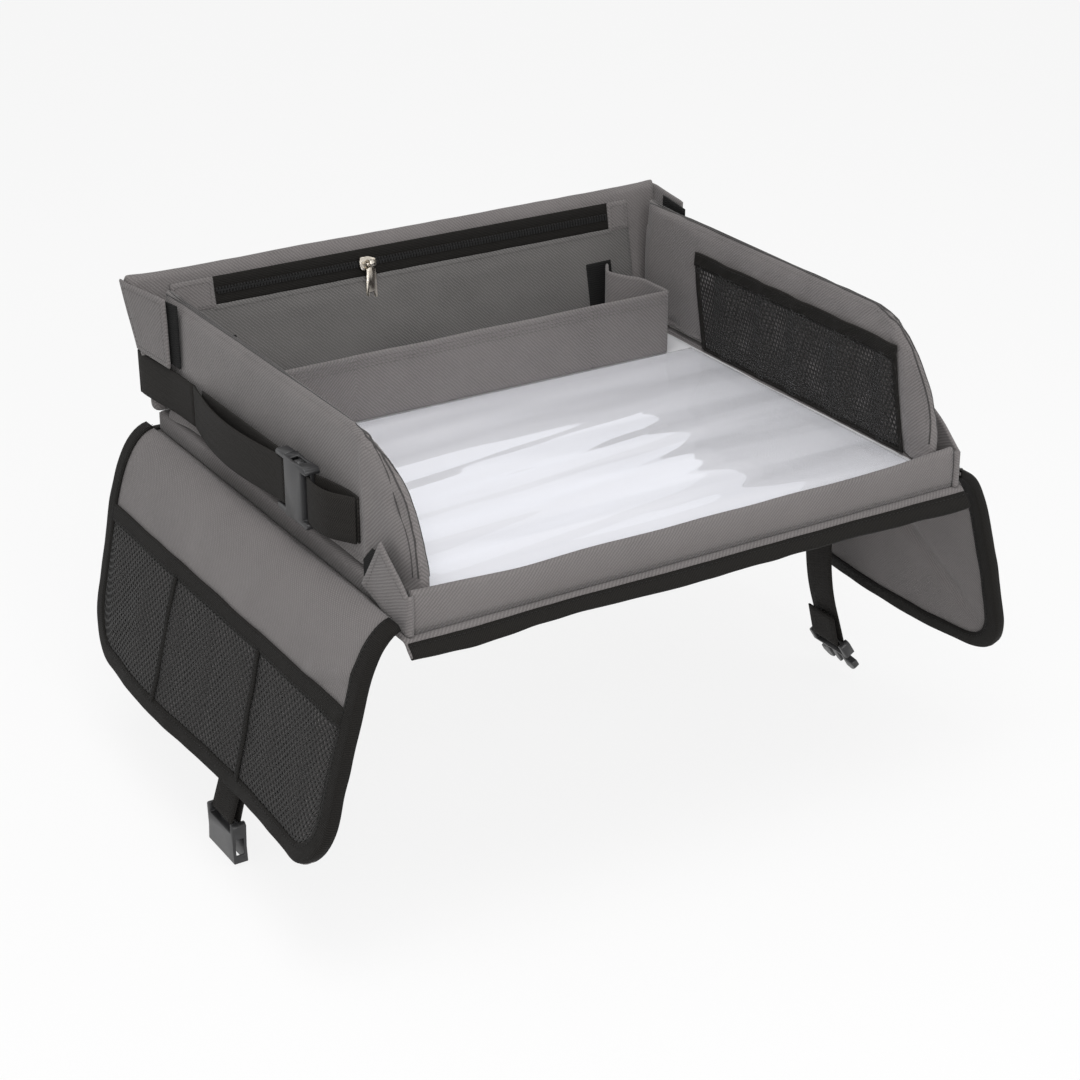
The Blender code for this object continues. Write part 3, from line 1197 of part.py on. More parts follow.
def make_anchor():
    """Short webbing sewn to the left wall, looped round the female end bar."""
    frame = upper_frame()
    mid = buckle_line()
    end = BUCKLE_FRAME + FIT + BUCKLE_BODY + BUCKLE_TAIL
    bar_at = (frame @ Vector((end - BUCKLE_BAR / 2, 0, 0))).y
    layer = WRAP
    hug = TRAY_HALF_WIDTH + FIT + WEB_THICK / 2
    lift_share, start_share = ANCHOR_LIFT_SHARES
    inner = [(-hug, ANCHOR_END), (-hug, ANCHOR_END + WEB_WIDTH * ANCHOR_FLAT_SHARE),
             (-(hug + (mid - layer - hug) * lift_share), bar_at - WEB_WIDTH * start_share),
             (-(mid - layer), bar_at)]
    bend = arc((-mid, bar_at), layer, 0, pi, 6)[1:]
    fold = hug + WEB_THICK + FIT
    near_share, far_share = ANCHOR_RETURN_SHARES
    outer = [(-(mid + layer + WEB_THICK), bar_at - WEB_WIDTH * near_share),
             (-(mid + layer), bar_at - WEB_WIDTH * far_share),
             (-(fold + WEB_THICK * 2), ANCHOR_END + WEB_THICK * 3), (-fold, ANCHOR_END)]
    points = inner + bend + outer
    piece("anchor_strap", plan_band(points, [STRAP_LEVEL + STRAP_RISE] * len(points), WEB_WIDTH / 2),
          "black_tape", wall_pivot(LEFT))


# Lower straps, on the wings' inner faces

def lower_top(side, y):
    """The point on a wing's inner face where its strap is sewn."""
    return wing_point(side, y, LOWER_TOP, -(WING_THICK / 2 + FIT + WEB_THICK / 2))


def lower_line(side, y, drop):
    """Points down a lower strap's middle, from its seam to the buckle's bar, as (x, z)."""
    top, tilt = lower_top(side, y), wing_tilt(LOWER_TOP)
    points, x, z = [], top.x, top.z
    steps = 12
    for i in range(steps + 1):
        points.append(Vector((x, y, z)))
        share = i / steps
        against_wing = max(LEAN_FADE_SHARE - share * 6, 0)
        hanging = min(max((share - HANG_START_SHARE) * 3, 0), 1)
        lean = tilt * against_wing + LOWER_TILT * hanging
        x += side * sin(lean) * drop / steps
        z -= cos(lean) * drop / steps
    return points


def lower_band(side, points, layer):
    """Webbing that runs down the points, turns round the buckle's bar and folds back."""
    end, run = points[-1], (points[-1] - points[-2]).normalized()
    out = Vector((-run.z * side, 0, run.x * side)).normalized()
    across = Vector((0, 1, 0))
    path = []
    for i, point in enumerate(points):
        before, after = points[max(i - 1, 0)], points[min(i + 1, len(points) - 1)]
        way = (after - before).normalized()
        path.append((point, Vector((-way.z * side, 0, way.x * side)), across))
    centre = end - out * layer
    steps = 6
    for i in range(1, steps + 1):
        turn = pi * i / steps
        offset = out * cos(turn) + run * sin(turn)
        path.append((centre + offset * layer, offset, across))
    back = centre - out * layer - run * LOOP_RETURN
    path.append((back, -out, across))
    return band(path, WEB_WIDTH / 2, WEB_THICK / 2), centre


def make_lower_straps():
    pivot = lower_top(LEFT, LOWER_LEFT_Y)
    points = lower_line(LEFT, LOWER_LEFT_Y, LOWER_LEFT_DROP)
    webbing, bar = lower_band(LEFT, points, WRAP)
    piece("lower_strap_left", webbing, "black_tape", pivot)
    end = BUCKLE_FRAME + FIT + BUCKLE_BODY + BUCKLE_TAIL
    plumb = Vector((0, 0, -1))
    frame = buckle_frame(bar + plumb * (end - BUCKLE_BAR / 2), -plumb, (LEFT, 0, 0))
    buckle_female("lower_buckle_female", frame, bar)
    pivot = lower_top(RIGHT, LOWER_RIGHT_Y)
    points = lower_line(RIGHT, LOWER_RIGHT_Y, LOWER_RIGHT_DROP)
    webbing, bar = lower_band(RIGHT, points, WRAP)
    piece("lower_strap_right", webbing, "black_tape", pivot)
    hang = Vector((sin(MALE_TILT), 0, -cos(MALE_TILT)))
    face = Vector((cos(MALE_TILT), 0, sin(MALE_TILT)))
    frame = buckle_frame(bar - hang * (BUCKLE_BAR / 2), hang, face)
    buckle_male("lower_buckle_male", frame, bar)
    buckle_prong("lower_prong_back", frame, RIGHT)
    buckle_prong("lower_prong_front", frame, LEFT)


clear_scene()
make_base()
make_bottom_sheet()
make_lip()
make_side_wall(LEFT, "left")
make_side_wall(RIGHT, "right")
make_back_wall()
make_organiser()
make_wing(LEFT, "left")
make_wing(RIGHT, "right")
make_upper_strap()
make_lower_straps()
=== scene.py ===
import bmesh
import bpy
import numpy as np
from math import cos, exp, pi, radians, sin, sqrt, tan
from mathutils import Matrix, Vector, noise
from mathutils.bvhtree import BVHTree


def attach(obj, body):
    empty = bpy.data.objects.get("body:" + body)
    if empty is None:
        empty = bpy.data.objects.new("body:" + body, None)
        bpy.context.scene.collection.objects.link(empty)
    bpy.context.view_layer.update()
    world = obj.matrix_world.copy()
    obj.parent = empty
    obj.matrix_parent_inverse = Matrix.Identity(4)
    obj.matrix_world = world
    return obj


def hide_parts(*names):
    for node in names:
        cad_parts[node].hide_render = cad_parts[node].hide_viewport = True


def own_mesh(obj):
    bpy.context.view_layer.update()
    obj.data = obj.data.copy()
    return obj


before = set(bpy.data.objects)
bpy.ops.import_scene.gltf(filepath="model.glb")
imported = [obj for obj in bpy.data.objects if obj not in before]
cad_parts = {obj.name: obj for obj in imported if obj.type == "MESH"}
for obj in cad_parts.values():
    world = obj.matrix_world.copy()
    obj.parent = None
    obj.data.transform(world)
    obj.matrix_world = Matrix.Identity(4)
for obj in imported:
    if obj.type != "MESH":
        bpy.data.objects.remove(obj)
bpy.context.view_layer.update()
print("frame loaded:", len(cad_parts), "nodes")

left, right = -1, 1
sides = ((left, "left"), (right, "right"))

# sizes that several pieces share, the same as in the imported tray
tray = {
    "halfWidth": 0.1990, "front": -0.1800, "back": 0.1800, "sheet": 0.0022, "sheetHalf": 0.2060,
    "sheetBack": 0.1860, "wallBottom": 0.0182, "fit": 0.0003, "hookFace": 0.2006,
}


# ---- node writing

def addNode(tree, kind, sockets=None, **settings):
    # a socket or a Wire is linked, anything else is set as the input's own value
    made = tree.nodes.new(kind)
    for key, value in settings.items():
        setattr(made, key, value)
    for key, value in (sockets or {}).items():
        value = getattr(value, "socket", value)
        if isinstance(value, bpy.types.NodeSocket):
            tree.links.new(value, made.inputs[key])
        else:
            made.inputs[key].default_value = value
    return made


class Wire:
    # one output socket that can stand in a sum, so height = rib * 0.6 + fuzz adds its own Math nodes
    def __init__(self, paint, socket):
        self.paint = paint
        self.socket = socket

    def calc(self, operation, a, b=0.0):
        return self.paint.node("ShaderNodeMath", {0: a, 1: b}, operation=operation)

    def __add__(self, other):
        return self.calc("ADD", self, other)

    def __sub__(self, other):
        return self.calc("SUBTRACT", self, other)

    def __rsub__(self, other):
        return self.calc("SUBTRACT", other, self)

    def __mul__(self, other):
        return self.calc("MULTIPLY", self, other)

    def __truediv__(self, other):
        return self.calc("DIVIDE", self, other)

    def __pow__(self, other):
        return self.calc("POWER", self, other)

    __radd__ = __add__
    __rmul__ = __mul__

    def wave(self):
        return self.calc("SINE", self) * 0.5 + 0.5

    def fold(self, width):
        return self.calc("PINGPONG", self, width)

    def limit(self):
        return self.paint.node("ShaderNodeClamp", {0: self})

    def step(self, low, high):
        return self.paint.node("ShaderNodeMapRange", {"Value": self, "From Min": low, "From Max": high},
                               interpolation_type="SMOOTHSTEP")


class Paint:
    # the node tree of one material, or of the world
    def __init__(self, owner, output="ShaderNodeOutputMaterial"):
        self.owner = owner
        owner.use_nodes = True
        self.tree = owner.node_tree
        self.tree.nodes.clear()
        self.output = self.tree.nodes.new(output)

    def node(self, kind, sockets=None, output=0, **settings):
        return Wire(self, addNode(self.tree, kind, sockets, **settings).outputs[output])

    def cloth(self):
        # distances along and across the piece's own cloth, in metres
        parts = self.node("ShaderNodeSeparateXYZ", {0: self.node("ShaderNodeUVMap", uv_map="cloth")})
        return parts, Wire(self, parts.socket.node.outputs[1])

    def noise(self, scale, detail=3.0, rough=0.5, stretch=None):
        vector = self.node("ShaderNodeTexCoord", output="Object")
        if stretch:
            vector = self.node("ShaderNodeVectorMath", {0: vector, 1: stretch}, operation="MULTIPLY")
        return self.node("ShaderNodeTexNoise", {"Vector": vector, "Scale": scale, "Detail": detail,
                                                "Roughness": rough})

    def blend(self, share, a, b):
        return self.node("ShaderNodeMix", {0: share, 6: a, 7: b}, 2, data_type="RGBA")

    def mix(self, share, a, b):
        return self.node("ShaderNodeMixShader", {0: share, 1: a, 2: b})

    def bump(self, height, depth, strength=1.0):
        return self.node("ShaderNodeBump", {"Height": height, "Distance": depth, "Strength": strength})

    def surface(self, colour, rough, normal=None, **fixed):
        sockets = {"Base Color": colour, "Roughness": rough}
        if normal:
            sockets["Normal"] = normal
        sockets.update({key.replace("_", " "): value for key, value in fixed.items()})
        return self.node("ShaderNodeBsdfPrincipled", sockets)

    def finish(self, shader):
        self.tree.links.new(shader.socket, self.output.inputs[0])
        return self.owner


def newPaint(name):
    return Paint(bpy.data.materials.new(name))


def tint(colour, share):
    return tuple(min(c * share, 1.0) for c in colour) + (1.0,)


greyLook = {"colour": (0.158, 0.146, 0.144), "rib": 0.0026, "yarn": 0.0020, "dark": 0.56, "light": 1.36,
            "waver": 0.0014, "worn": 1.05}


def wovenCloth(name, look):
    # coarse polyester weave: slanted ribs broken up by the crossing yarn
    paint = newPaint(name)
    u, v = paint.cloth()
    waver = (paint.noise(420, 2) - 0.5) * look["waver"]  # no weave is quite regular
    rib = ((u + v + waver) * (2 * pi / look["rib"])).wave()
    yarn = ((u - v + waver) * (2 * pi / look["yarn"])).wave()
    fuzz = paint.noise(1500, 2)
    patch = paint.noise(16, 3, 0.6)
    height = rib * (0.55 + yarn * 0.45) + fuzz * 0.22
    shade = (height * 0.72 + patch * 0.42 - 0.12).limit()
    colour = paint.blend(shade, tint(look["colour"], look["dark"]), tint(look["colour"], look["light"]))
    worn = paint.blend((patch - 0.5) * 0.8 + 0.3, colour, tint(look["colour"], look["worn"]))
    return paint.finish(paint.surface(worn, 0.78 + fuzz * 0.16, paint.bump(height, 0.0003, 0.6),
                                      Sheen_Weight=0.16, Sheen_Roughness=0.5, Specular_IOR_Level=0.25))


tapeLook = {"colour": (0.0095, 0.0087, 0.0078), "rib": 0.0011, "yarn": 0.0009, "chevron": 0.0030,
            "dark": 0.35, "light": 2.1}


def ribbedTape(name, look, slant=0.0):
    # narrow woven tape: fine ribs across it, in chevrons where it is webbing
    paint = newPaint(name)
    u, v = paint.cloth()
    chevron = (u / look["chevron"]).fold(1.0) * slant
    rib = ((v / look["rib"] + chevron) * (2 * pi)).wave()
    along = (u * (2 * pi / look["yarn"])).wave()
    fuzz = paint.noise(2200, 2)
    height = rib * 0.7 + along * 0.25 + fuzz * 0.3
    colour = paint.blend((height * 0.85 - 0.1).limit(), tint(look["colour"], look["dark"]),
                         tint(look["colour"], look["light"]))
    return paint.finish(paint.surface(colour, 0.62 + fuzz * 0.22, paint.bump(height, 0.00035, 0.8),
                                      Sheen_Weight=0.01, Specular_IOR_Level=0.12))


def threadMaterial(name, colour):
    paint = newPaint(name)
    twist = paint.noise(4200, 2, 0.6)
    shade = paint.blend(twist, tint(colour, 0.7), tint(colour, 1.3))
    return paint.finish(paint.surface(shade, 0.6 + twist * 0.2, paint.bump(twist, 0.0001),
                                      Sheen_Weight=0.04, Specular_IOR_Level=0.25))


def plasticMaterial(name, colour):
    # moulded black plastic: fine grain, worn a little paler in places
    paint = newPaint(name)
    grain = paint.noise(1800, 3, 0.6)
    wear = paint.noise(60, 4, 0.7)
    shade = paint.blend((wear * 1.4 - 0.3).limit(), tint(colour, 0.8), tint(colour, 1.6))
    rough = 0.30 + wear * 0.14 + grain * 0.06
    return paint.finish(paint.surface(shade, rough, paint.bump(grain, 0.00006, 0.6), Specular_IOR_Level=0.5))


def nickelMaterial(name):
    paint = newPaint(name)
    brushed = paint.noise(700, 4, 0.6, (1.0, 1.0, 0.25))
    tarnish = paint.noise(240, 3, 0.6)
    shade = paint.blend((tarnish * 1.6 - 0.35).limit(), (0.34, 0.30, 0.25, 1), (0.74, 0.70, 0.63, 1))
    return paint.finish(paint.surface(shade, 0.14 + brushed * 0.18, paint.bump(brushed, 0.00004, 0.5),
                                      Metallic=1.0))


def boardMaterial(name):
    paint = newPaint(name)
    fibre = paint.noise(500, 4, 0.7, (1.0, 0.3, 1.0))
    shade = paint.blend(fibre, (0.62, 0.61, 0.58, 1), (0.82, 0.81, 0.79, 1))
    return paint.finish(paint.surface(shade, 0.6 + fibre * 0.2, paint.bump(fibre, 0.0001, 0.4)))


def floorMaterial(name):
    # the white sheet under the film, with thin soft streaks of painted shade where the film's ripples would
    # shade it
    paint = newPaint(name)
    shadeStreak = paint.noise(8, 2, 0.45, (0.38, 3.6, 1.0))
    fine = paint.noise(30, 3, 0.5, (0.30, 2.6, 1.0))
    # painted shade: the streaks darken the sheet's colour
    shade = (1.0 - (shadeStreak.step(0.50, 0.62) * 0.34 + fine.step(0.50, 0.72) * 0.12)).limit()
    colour = paint.blend(shade, (0.58, 0.58, 0.60, 1), (0.78, 0.78, 0.80, 1))
    return paint.finish(paint.surface(colour, 0.5 + fine * 0.1, paint.bump(fine, 0.0001, 0.3)))


def filmMaterial(name):
    # clear soft vinyl: mostly see-through, glossy where it turns away
    paint = newPaint(name)
    turned = paint.node("ShaderNodeLayerWeight", {"Blend": 0.5}, "Facing")
    gloss = paint.surface((0.90, 0.93, 1.0, 1), 0.03, Metallic=1.0)
    clear = paint.node("ShaderNodeBsdfTransparent", {0: (0.985, 0.985, 0.99, 1)})
    return paint.finish(paint.mix((turned ** 5.0 * 0.85 + 0.015).limit(), clear, gloss))


grey = wovenCloth("greyCloth", greyLook)
# the pocket's cloth is a darker copy of the grey: painted shade for the pocket panel that hangs in shade below
# the zipper
pocketShadeGrey = wovenCloth("pocketPaintedShade", {**greyLook, "colour": (0.118, 0.113, 0.110), "dark": 0.42,
                                        "light": 1.55})
# dark grey cloth for seam piping and welts: painted shadow, standing in for the shaded groove along each seam
paintedSeamShadow = wovenCloth("paintedSeamShadow", {**greyLook, "colour": (0.050, 0.047, 0.046)})
tape = ribbedTape("blackTape", tapeLook)
webbing = ribbedTape("blackWebbing", {**tapeLook, "colour": (0.0150, 0.0137, 0.0125), "rib": 0.0014}, 1.4)
hookTape = ribbedTape("hookTape", {**tapeLook, "rib": 0.0016, "colour": (0.0085, 0.0085, 0.0085)}, 0.5)
netYarn = threadMaterial("blackNet", (0.0125, 0.0120, 0.0115))
greyThread = threadMaterial("greyThread", (0.115, 0.110, 0.106))
paleThread = threadMaterial("paleThread", (0.46, 0.46, 0.48))
blackThread = threadMaterial("blackThread", (0.010, 0.010, 0.010))
plastic = plasticMaterial("blackPlastic", (0.020, 0.020, 0.021))
nickel = nickelMaterial("nickel")
board = boardMaterial("stiffener")
whiteSheet = floorMaterial("whiteSheet")
film = filmMaterial("clearFilm")
print("finishes made")


# ---- mesh making

def within(value, low=0.0, high=1.0):
    return min(max(value, low), high)


def spread(low, high, steps):
    return [low + (high - low) * i / steps for i in range(steps + 1)]


def ripple(point, size, seed=0.0):
    return noise.noise(Vector(point) / size + Vector((seed, seed * 0.7, seed * 1.3)))


def lengths(points):
    total, found = 0.0, [0.0]
    for a, b in zip(points, points[1:]):
        total += (b - a).length
        found.append(total)
    return found


def along(corners, steps):
    # places at even steps on the straight runs from corner to corner
    return [(a + (c - a) * i / steps, b + (d - b) * i / steps)
            for (a, b), (c, d) in zip(corners, corners[1:]) for i in range(steps)]


def smoothPath(points, per):
    # a rounded line through the points
    points = [Vector(p) for p in points]
    found = []
    for i in range(len(points) - 1):
        a, b = points[max(i - 1, 0)], points[i]
        c, d = points[i + 1], points[min(i + 2, len(points) - 1)]
        for k in range(per):
            t = k / per
            found.append(0.5 * (2 * b + (c - a) * t + (2 * a - 5 * b + 4 * c - d) * t * t
                                + (3 * b - a - 3 * c + d) * t ** 3))
    return found + [points[-1]]


def addObject(name, data):
    made = bpy.data.objects.new(name, data)
    bpy.context.scene.collection.objects.link(made)
    return made


def allSmooth(piece):
    piece.data.polygons.foreach_set("use_smooth", [True] * len(piece.data.polygons))
    return piece


def newPiece(name, points, faces, material, uvs=None):
    mesh = bpy.data.meshes.new(name)
    mesh.from_pydata([tuple(p) for p in points], [], faces)
    mesh.validate()
    layer = mesh.uv_layers.new(name="cloth")
    if uvs:
        at = np.array([uvs[loop.vertex_index] for loop in mesh.loops], np.float32)
        layer.data.foreach_set("uv", at.ravel())
    mesh.materials.append(material)
    return allSmooth(addObject(name, mesh))


def facesOut(piece):
    bm = bmesh.new()
    bm.from_mesh(piece.data)
    bmesh.ops.recalc_face_normals(bm, faces=bm.faces)
    bm.to_mesh(piece.data)
    bm.free()
    return piece


def boxUv(piece):
    # cloth distances straight from the piece's place, seen along each face's own direction
    mesh = piece.data
    layer = mesh.uv_layers.get("cloth") or mesh.uv_layers.new(name="cloth")
    for polygon in mesh.polygons:
        n = [abs(c) for c in polygon.normal]
        a, b = ((1, 2), (0, 2), (0, 1))[n.index(max(n))]
        for i in polygon.loop_indices:
            co = mesh.vertices[mesh.loops[i].vertex_index].co
            layer.data[i].uv = (co[a], co[b])
    return piece


def shell(name, at, us, vs, thick, material):
    # a closed skin either side of the surface at(u, v), with a rounded rim
    nu, nv = len(us), len(vs)
    mid = [[Vector(at(u, v)) for v in vs] for u in us]
    half = [[(thick(u, v) if callable(thick) else thick) / 2 for v in vs] for u in us]
    alongU = lengths([row[nv // 2] for row in mid])
    alongV = lengths(mid[nu // 2])
    points, uvs, faces = [], [], []
    for side in (1, -1):
        for i in range(nu):
            for j in range(nv):
                a = mid[min(i + 1, nu - 1)][j] - mid[max(i - 1, 0)][j]
                b = mid[i][min(j + 1, nv - 1)] - mid[i][max(j - 1, 0)]
                points.append(mid[i][j] + a.cross(b).normalized() * half[i][j] * side)
                uvs.append((alongU[i], alongV[j]))
    step = nu * nv
    for i in range(nu - 1):
        for j in range(nv - 1):
            a, b, c, d = i * nv + j, (i + 1) * nv + j, (i + 1) * nv + j + 1, i * nv + j + 1
            faces += [(a, b, c, d), (d + step, c + step, b + step, a + step)]
    loop = [(i, 0) for i in range(nu)] + [(nu - 1, j) for j in range(1, nv)]
    loop += [(i, nv - 1) for i in range(nu - 2, -1, -1)] + [(0, j) for j in range(nv - 2, 0, -1)]
    first = len(points)
    for k, (i, j) in enumerate(loop):
        out = mid[i][j] - mid[within(i, 1, nu - 2)][within(j, 1, nv - 2)]
        points.append(mid[i][j] + out.normalized() * half[i][j])
        uvs.append((alongU[i], alongV[j]))
        m = (k + 1) % len(loop)
        a, b = i * nv + j, loop[m][0] * nv + loop[m][1]
        faces += [(a, first + k, first + m, b), (first + k, a + step, b + step, first + m)]
    return facesOut(newPiece(name, points, faces, material, uvs))


def ringFaces(count, rings):
    # faces between closed rings that follow each other, and one over either end
    faces = []
    for i in range(rings - 1):
        for j in range(count):
            k = (j + 1) % count
            faces.append((i * count + j, i * count + k, (i + 1) * count + k, (i + 1) * count + j))
    return faces + [tuple(range(count)), tuple((rings - 1) * count + j for j in range(count))]


def loft(name, rings, material):
    # closed rings joined in order; the cloth runs along and around them
    points, uvs = [], []
    for ring, far in zip(rings, lengths([Vector(ring[0]) for ring in rings])):
        ring = [Vector(p) for p in ring]
        points += ring
        uvs += [(a, far) for a in lengths(ring)]
    return facesOut(newPiece(name, points, ringFaces(len(rings[0]), len(rings)), material, uvs))


def tube(name, points, radius, material, around=8):
    points = [Vector(p) for p in points]
    rings, side = [], None
    turns = [2 * pi * k / around for k in range(around)]
    for i, point in enumerate(points):
        way = (points[min(i + 1, len(points) - 1)] - points[max(i - 1, 0)]).normalized()
        side = side - way * side.dot(way) if side else way.orthogonal()
        side.normalize()
        up = way.cross(side)
        rings.append([point + side * radius * cos(t) + up * radius * sin(t) for t in turns])
    return loft(name, rings, material)


def joinPieces(name, pieces):
    for other in bpy.context.selected_objects:
        other.select_set(False)
    for piece in pieces:
        piece.select_set(True)
    bpy.context.view_layer.objects.active = pieces[0]
    bpy.ops.object.join()
    pieces[0].name = name
    return pieces[0]


def bake(piece, name):
    # the evaluated result as a plain mesh; the helper object goes
    graph = bpy.context.evaluated_depsgraph_get()
    made = addObject(name, bpy.data.meshes.new_from_object(piece.evaluated_get(graph)))
    bpy.data.objects.remove(piece)
    return made


# ---- Geometry Nodes: stitches, zipper teeth and net holes

def newTree(name, inputs):
    tree = bpy.data.node_groups.new(name, "GeometryNodeTree")
    tree.interface.new_socket("Geometry", in_out="INPUT", socket_type="NodeSocketGeometry")
    for label, kind in inputs:
        tree.interface.new_socket(label, in_out="INPUT", socket_type="NodeSocket" + kind)
    tree.interface.new_socket("Geometry", in_out="OUTPUT", socket_type="NodeSocketGeometry")
    return tree, tree.nodes.new("NodeGroupInput").outputs


def finishTree(tree, geometry, finish):
    real = addNode(tree, "GeometryNodeRealizeInstances", {"Geometry": geometry})
    done = addNode(tree, "GeometryNodeSetMaterial", {"Geometry": real.outputs[0], "Material": finish})
    addNode(tree, "NodeGroupOutput", {0: done.outputs[0]})
    return tree


def beadRow(name, block):
    # small beads set along edges at a pitch and turned along them: stitches, or teeth when block is true
    tree, given = newTree(name, (("Pitch", "Float"), ("Length", "Float"), ("Width", "Float"),
                                 ("Height", "Float"), ("Finish", "Material")))
    line = addNode(tree, "GeometryNodeMeshToCurve", {"Mesh": given["Geometry"]})
    spaced = addNode(tree, "GeometryNodeResampleCurve", {"Curve": line.outputs[0], "Length": given["Pitch"]},
                     mode="LENGTH")
    size = addNode(tree, "ShaderNodeCombineXYZ", {0: given["Length"], 1: given["Width"], 2: given["Height"]})
    if block:
        bead = addNode(tree, "GeometryNodeMeshCube", {"Size": size.outputs[0]})
    else:
        ball = addNode(tree, "GeometryNodeMeshIcoSphere", {"Radius": 0.5, "Subdivisions": 1})
        bead = addNode(tree, "GeometryNodeTransform", {"Geometry": ball.outputs[0], "Scale": size.outputs[0]})
    tangent = addNode(tree, "GeometryNodeInputTangent")
    turned = addNode(tree, "FunctionNodeAlignRotationToVector", {"Vector": tangent.outputs[0]}, axis="X")
    placed = addNode(tree, "GeometryNodeInstanceOnPoints", {"Points": spaced.outputs[0],
                                                            "Instance": bead.outputs[0],
                                                            "Rotation": turned.outputs[0]})
    return finishTree(tree, placed.outputs[0], given["Finish"])


def holeNet(name):
    # every cell of the sheet becomes a ring round its hole
    tree, given = newTree(name, (("Hole", "Float"), ("Finish", "Material")))
    raised = addNode(tree, "GeometryNodeExtrudeMesh",
                     {"Mesh": given["Geometry"], "Offset Scale": 0.0, "Individual": True}, mode="FACES")
    shrunk = addNode(tree, "GeometryNodeScaleElements",
                     {"Geometry": raised.outputs[0], "Selection": raised.outputs[1], "Scale": given["Hole"]},
                     domain="FACE")
    opened = addNode(tree, "GeometryNodeDeleteGeometry",
                     {"Geometry": shrunk.outputs[0], "Selection": raised.outputs[1]}, domain="FACE")
    welded = addNode(tree, "GeometryNodeMergeByDistance",
                     {"Geometry": opened.outputs[0], "Distance": 0.00002})
    return finishTree(tree, welded.outputs[0], given["Finish"])


def runTree(piece, tree, values):
    modifier = piece.modifiers.new(tree.name, "NODES")
    modifier.node_group = tree
    for item in tree.interface.items_tree:
        if item.in_out == "INPUT" and item.name in values:
            modifier[item.identifier] = values[item.name]


stitchTree = beadRow("stitchRow", False)
toothTree = beadRow("toothRow", True)
netTree = holeNet("netHoles")
seams = {}  # body name: the stitch rows that ride on it


def stitchSize(pitch, length, width):
    return {"Pitch": pitch, "Length": length, "Width": width, "Height": width}


stitch = stitchSize(0.0034, 0.0025, 0.00055)
shortStitch = stitchSize(0.0030, 0.0022, 0.00055)
tapeStitch = stitchSize(0.0032, 0.0024, 0.0005)
webStitch = stitchSize(0.0030, 0.0022, 0.0005)


def beads(name, points, tree, values):
    mesh = bpy.data.meshes.new("seamLine")
    mesh.from_pydata([tuple(p) for p in points], [(i, i + 1) for i in range(len(points) - 1)], [])
    line = addObject("seamLine", mesh)
    runTree(line, tree, values)
    return bake(line, name)


def stitches(points, thread, size=stitch):
    return beads("stitches", points, stitchTree, {**size, "Finish": thread})


def stitchRow(body, points, thread, size=stitch):
    seams.setdefault(body, []).append(allSmooth(stitches(points, thread, size)))


def place(piece, body, *nodes, slot="grey_cloth"):
    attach(piece, body)
    if nodes:
        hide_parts(*nodes)
    return piece


def piping(name, line, radius, material, body):
    place(boxUv(tube(name, line, radius, material)), body)


def surfaceOf(piece):
    return BVHTree.FromObject(piece, bpy.context.evaluated_depsgraph_get())


def laid(skin, points, way, off, reach=0.03):
    # the points moved along a direction until they lie on a skin, then off it by a little
    found, way = [], Vector(way).normalized()
    for point in points:
        hit = skin.ray_cast(Vector(point) - way * reach, way, reach * 2)[0]
        if hit:
            found.append(hit - way * off)
    return found


def remeshed(piece, voxel, name):
    remesh = piece.modifiers.new("even", "REMESH")
    remesh.mode = "VOXEL"
    remesh.voxel_size = voxel
    return bake(piece, name)


# cloth settings for a stuffed cover that air swells out, how far it may move and for how long
stuffed = {"quality": 4, "mass": 0.3, "use_pressure": True, "uniform_pressure_force": 4.0,
           "tension_stiffness": 12, "compression_stiffness": 12, "bending_stiffness": 0.6}
swell = {"cap": 0.0030, "frames": 20}


def inflate(piece, voxel, low, high):
    # swells a slightly small closed shape as stuffed cloth, within how far it may move, then fits its box
    name, material = piece.name, piece.data.materials[0]
    piece = remeshed(piece, voxel, name)
    start = np.array([v.co for v in piece.data.vertices])
    cloth = piece.modifiers.new("air", "CLOTH")
    for key, value in stuffed.items():
        setattr(cloth.settings, key, value)
    cloth.settings.effector_weights.gravity = 0
    cloth.collision_settings.use_collision = False
    for step in range(1, swell["frames"] + 1):
        bpy.context.scene.frame_set(step)
    piece = bake(piece, name)
    bpy.context.scene.frame_set(1)
    move = np.array([v.co for v in piece.data.vertices]) - start
    far = np.linalg.norm(move, axis=1, keepdims=True)
    move *= np.minimum(1.0, swell["cap"] / np.maximum(far, 1e-9))
    done = start + move
    low, high = np.array(low), np.array(high)
    done = low + (done - done.min(axis=0)) / (done.max(axis=0) - done.min(axis=0)) * (high - low)
    piece.data.vertices.foreach_set("co", done.astype(np.float32).ravel())
    piece.data.materials.clear()
    piece.data.materials.append(material)
    smooth = allSmooth(piece).modifiers.new("fine", "SUBSURF")
    smooth.levels = smooth.render_levels = 1
    return bake(piece, name)


def crumple(piece, rows):
    # small waves over the cloth: (size, depth, seed) each
    mesh = piece.data
    normals = [v.normal.copy() for v in mesh.vertices]
    for vertex, normal in zip(mesh.vertices, normals):
        vertex.co += normal * sum(depth * ripple(vertex.co, size, seed) for size, depth, seed in rows)
    mesh.update()
    return piece


def cadCopy(node, material, dissolve=False):
    made = addObject("part_" + node, bpy.data.objects[node].data.copy())
    bm = bmesh.new()
    bm.from_mesh(made.data)
    bmesh.ops.remove_doubles(bm, verts=bm.verts, dist=0.00001)
    if dissolve:
        bmesh.ops.dissolve_limit(bm, angle_limit=radians(1), verts=bm.verts, edges=bm.edges)
    bm.to_mesh(made.data)
    bm.free()
    made.data.materials.clear()
    made.data.materials.append(material)
    return made


def rounded(node, width, material):
    # a hard CAD piece with its edges broken, as moulded or cast pieces have them
    made = cadCopy(node, material, True)
    bevel = made.modifiers.new("edges", "BEVEL")
    bevel.width = width
    bevel.segments = 3
    bevel.limit_method = "ANGLE"
    bevel.angle_limit = radians(30)
    bevel.harden_normals = True
    return allSmooth(bake(made, "part_" + node))


def softCopy(node, voxel, material, rows):
    # a soft CAD piece remeshed fine enough to take creases
    made = remeshed(cadCopy(node, material), voxel, "part_" + node)
    return boxUv(crumple(allSmooth(made), rows))


# ---- side walls

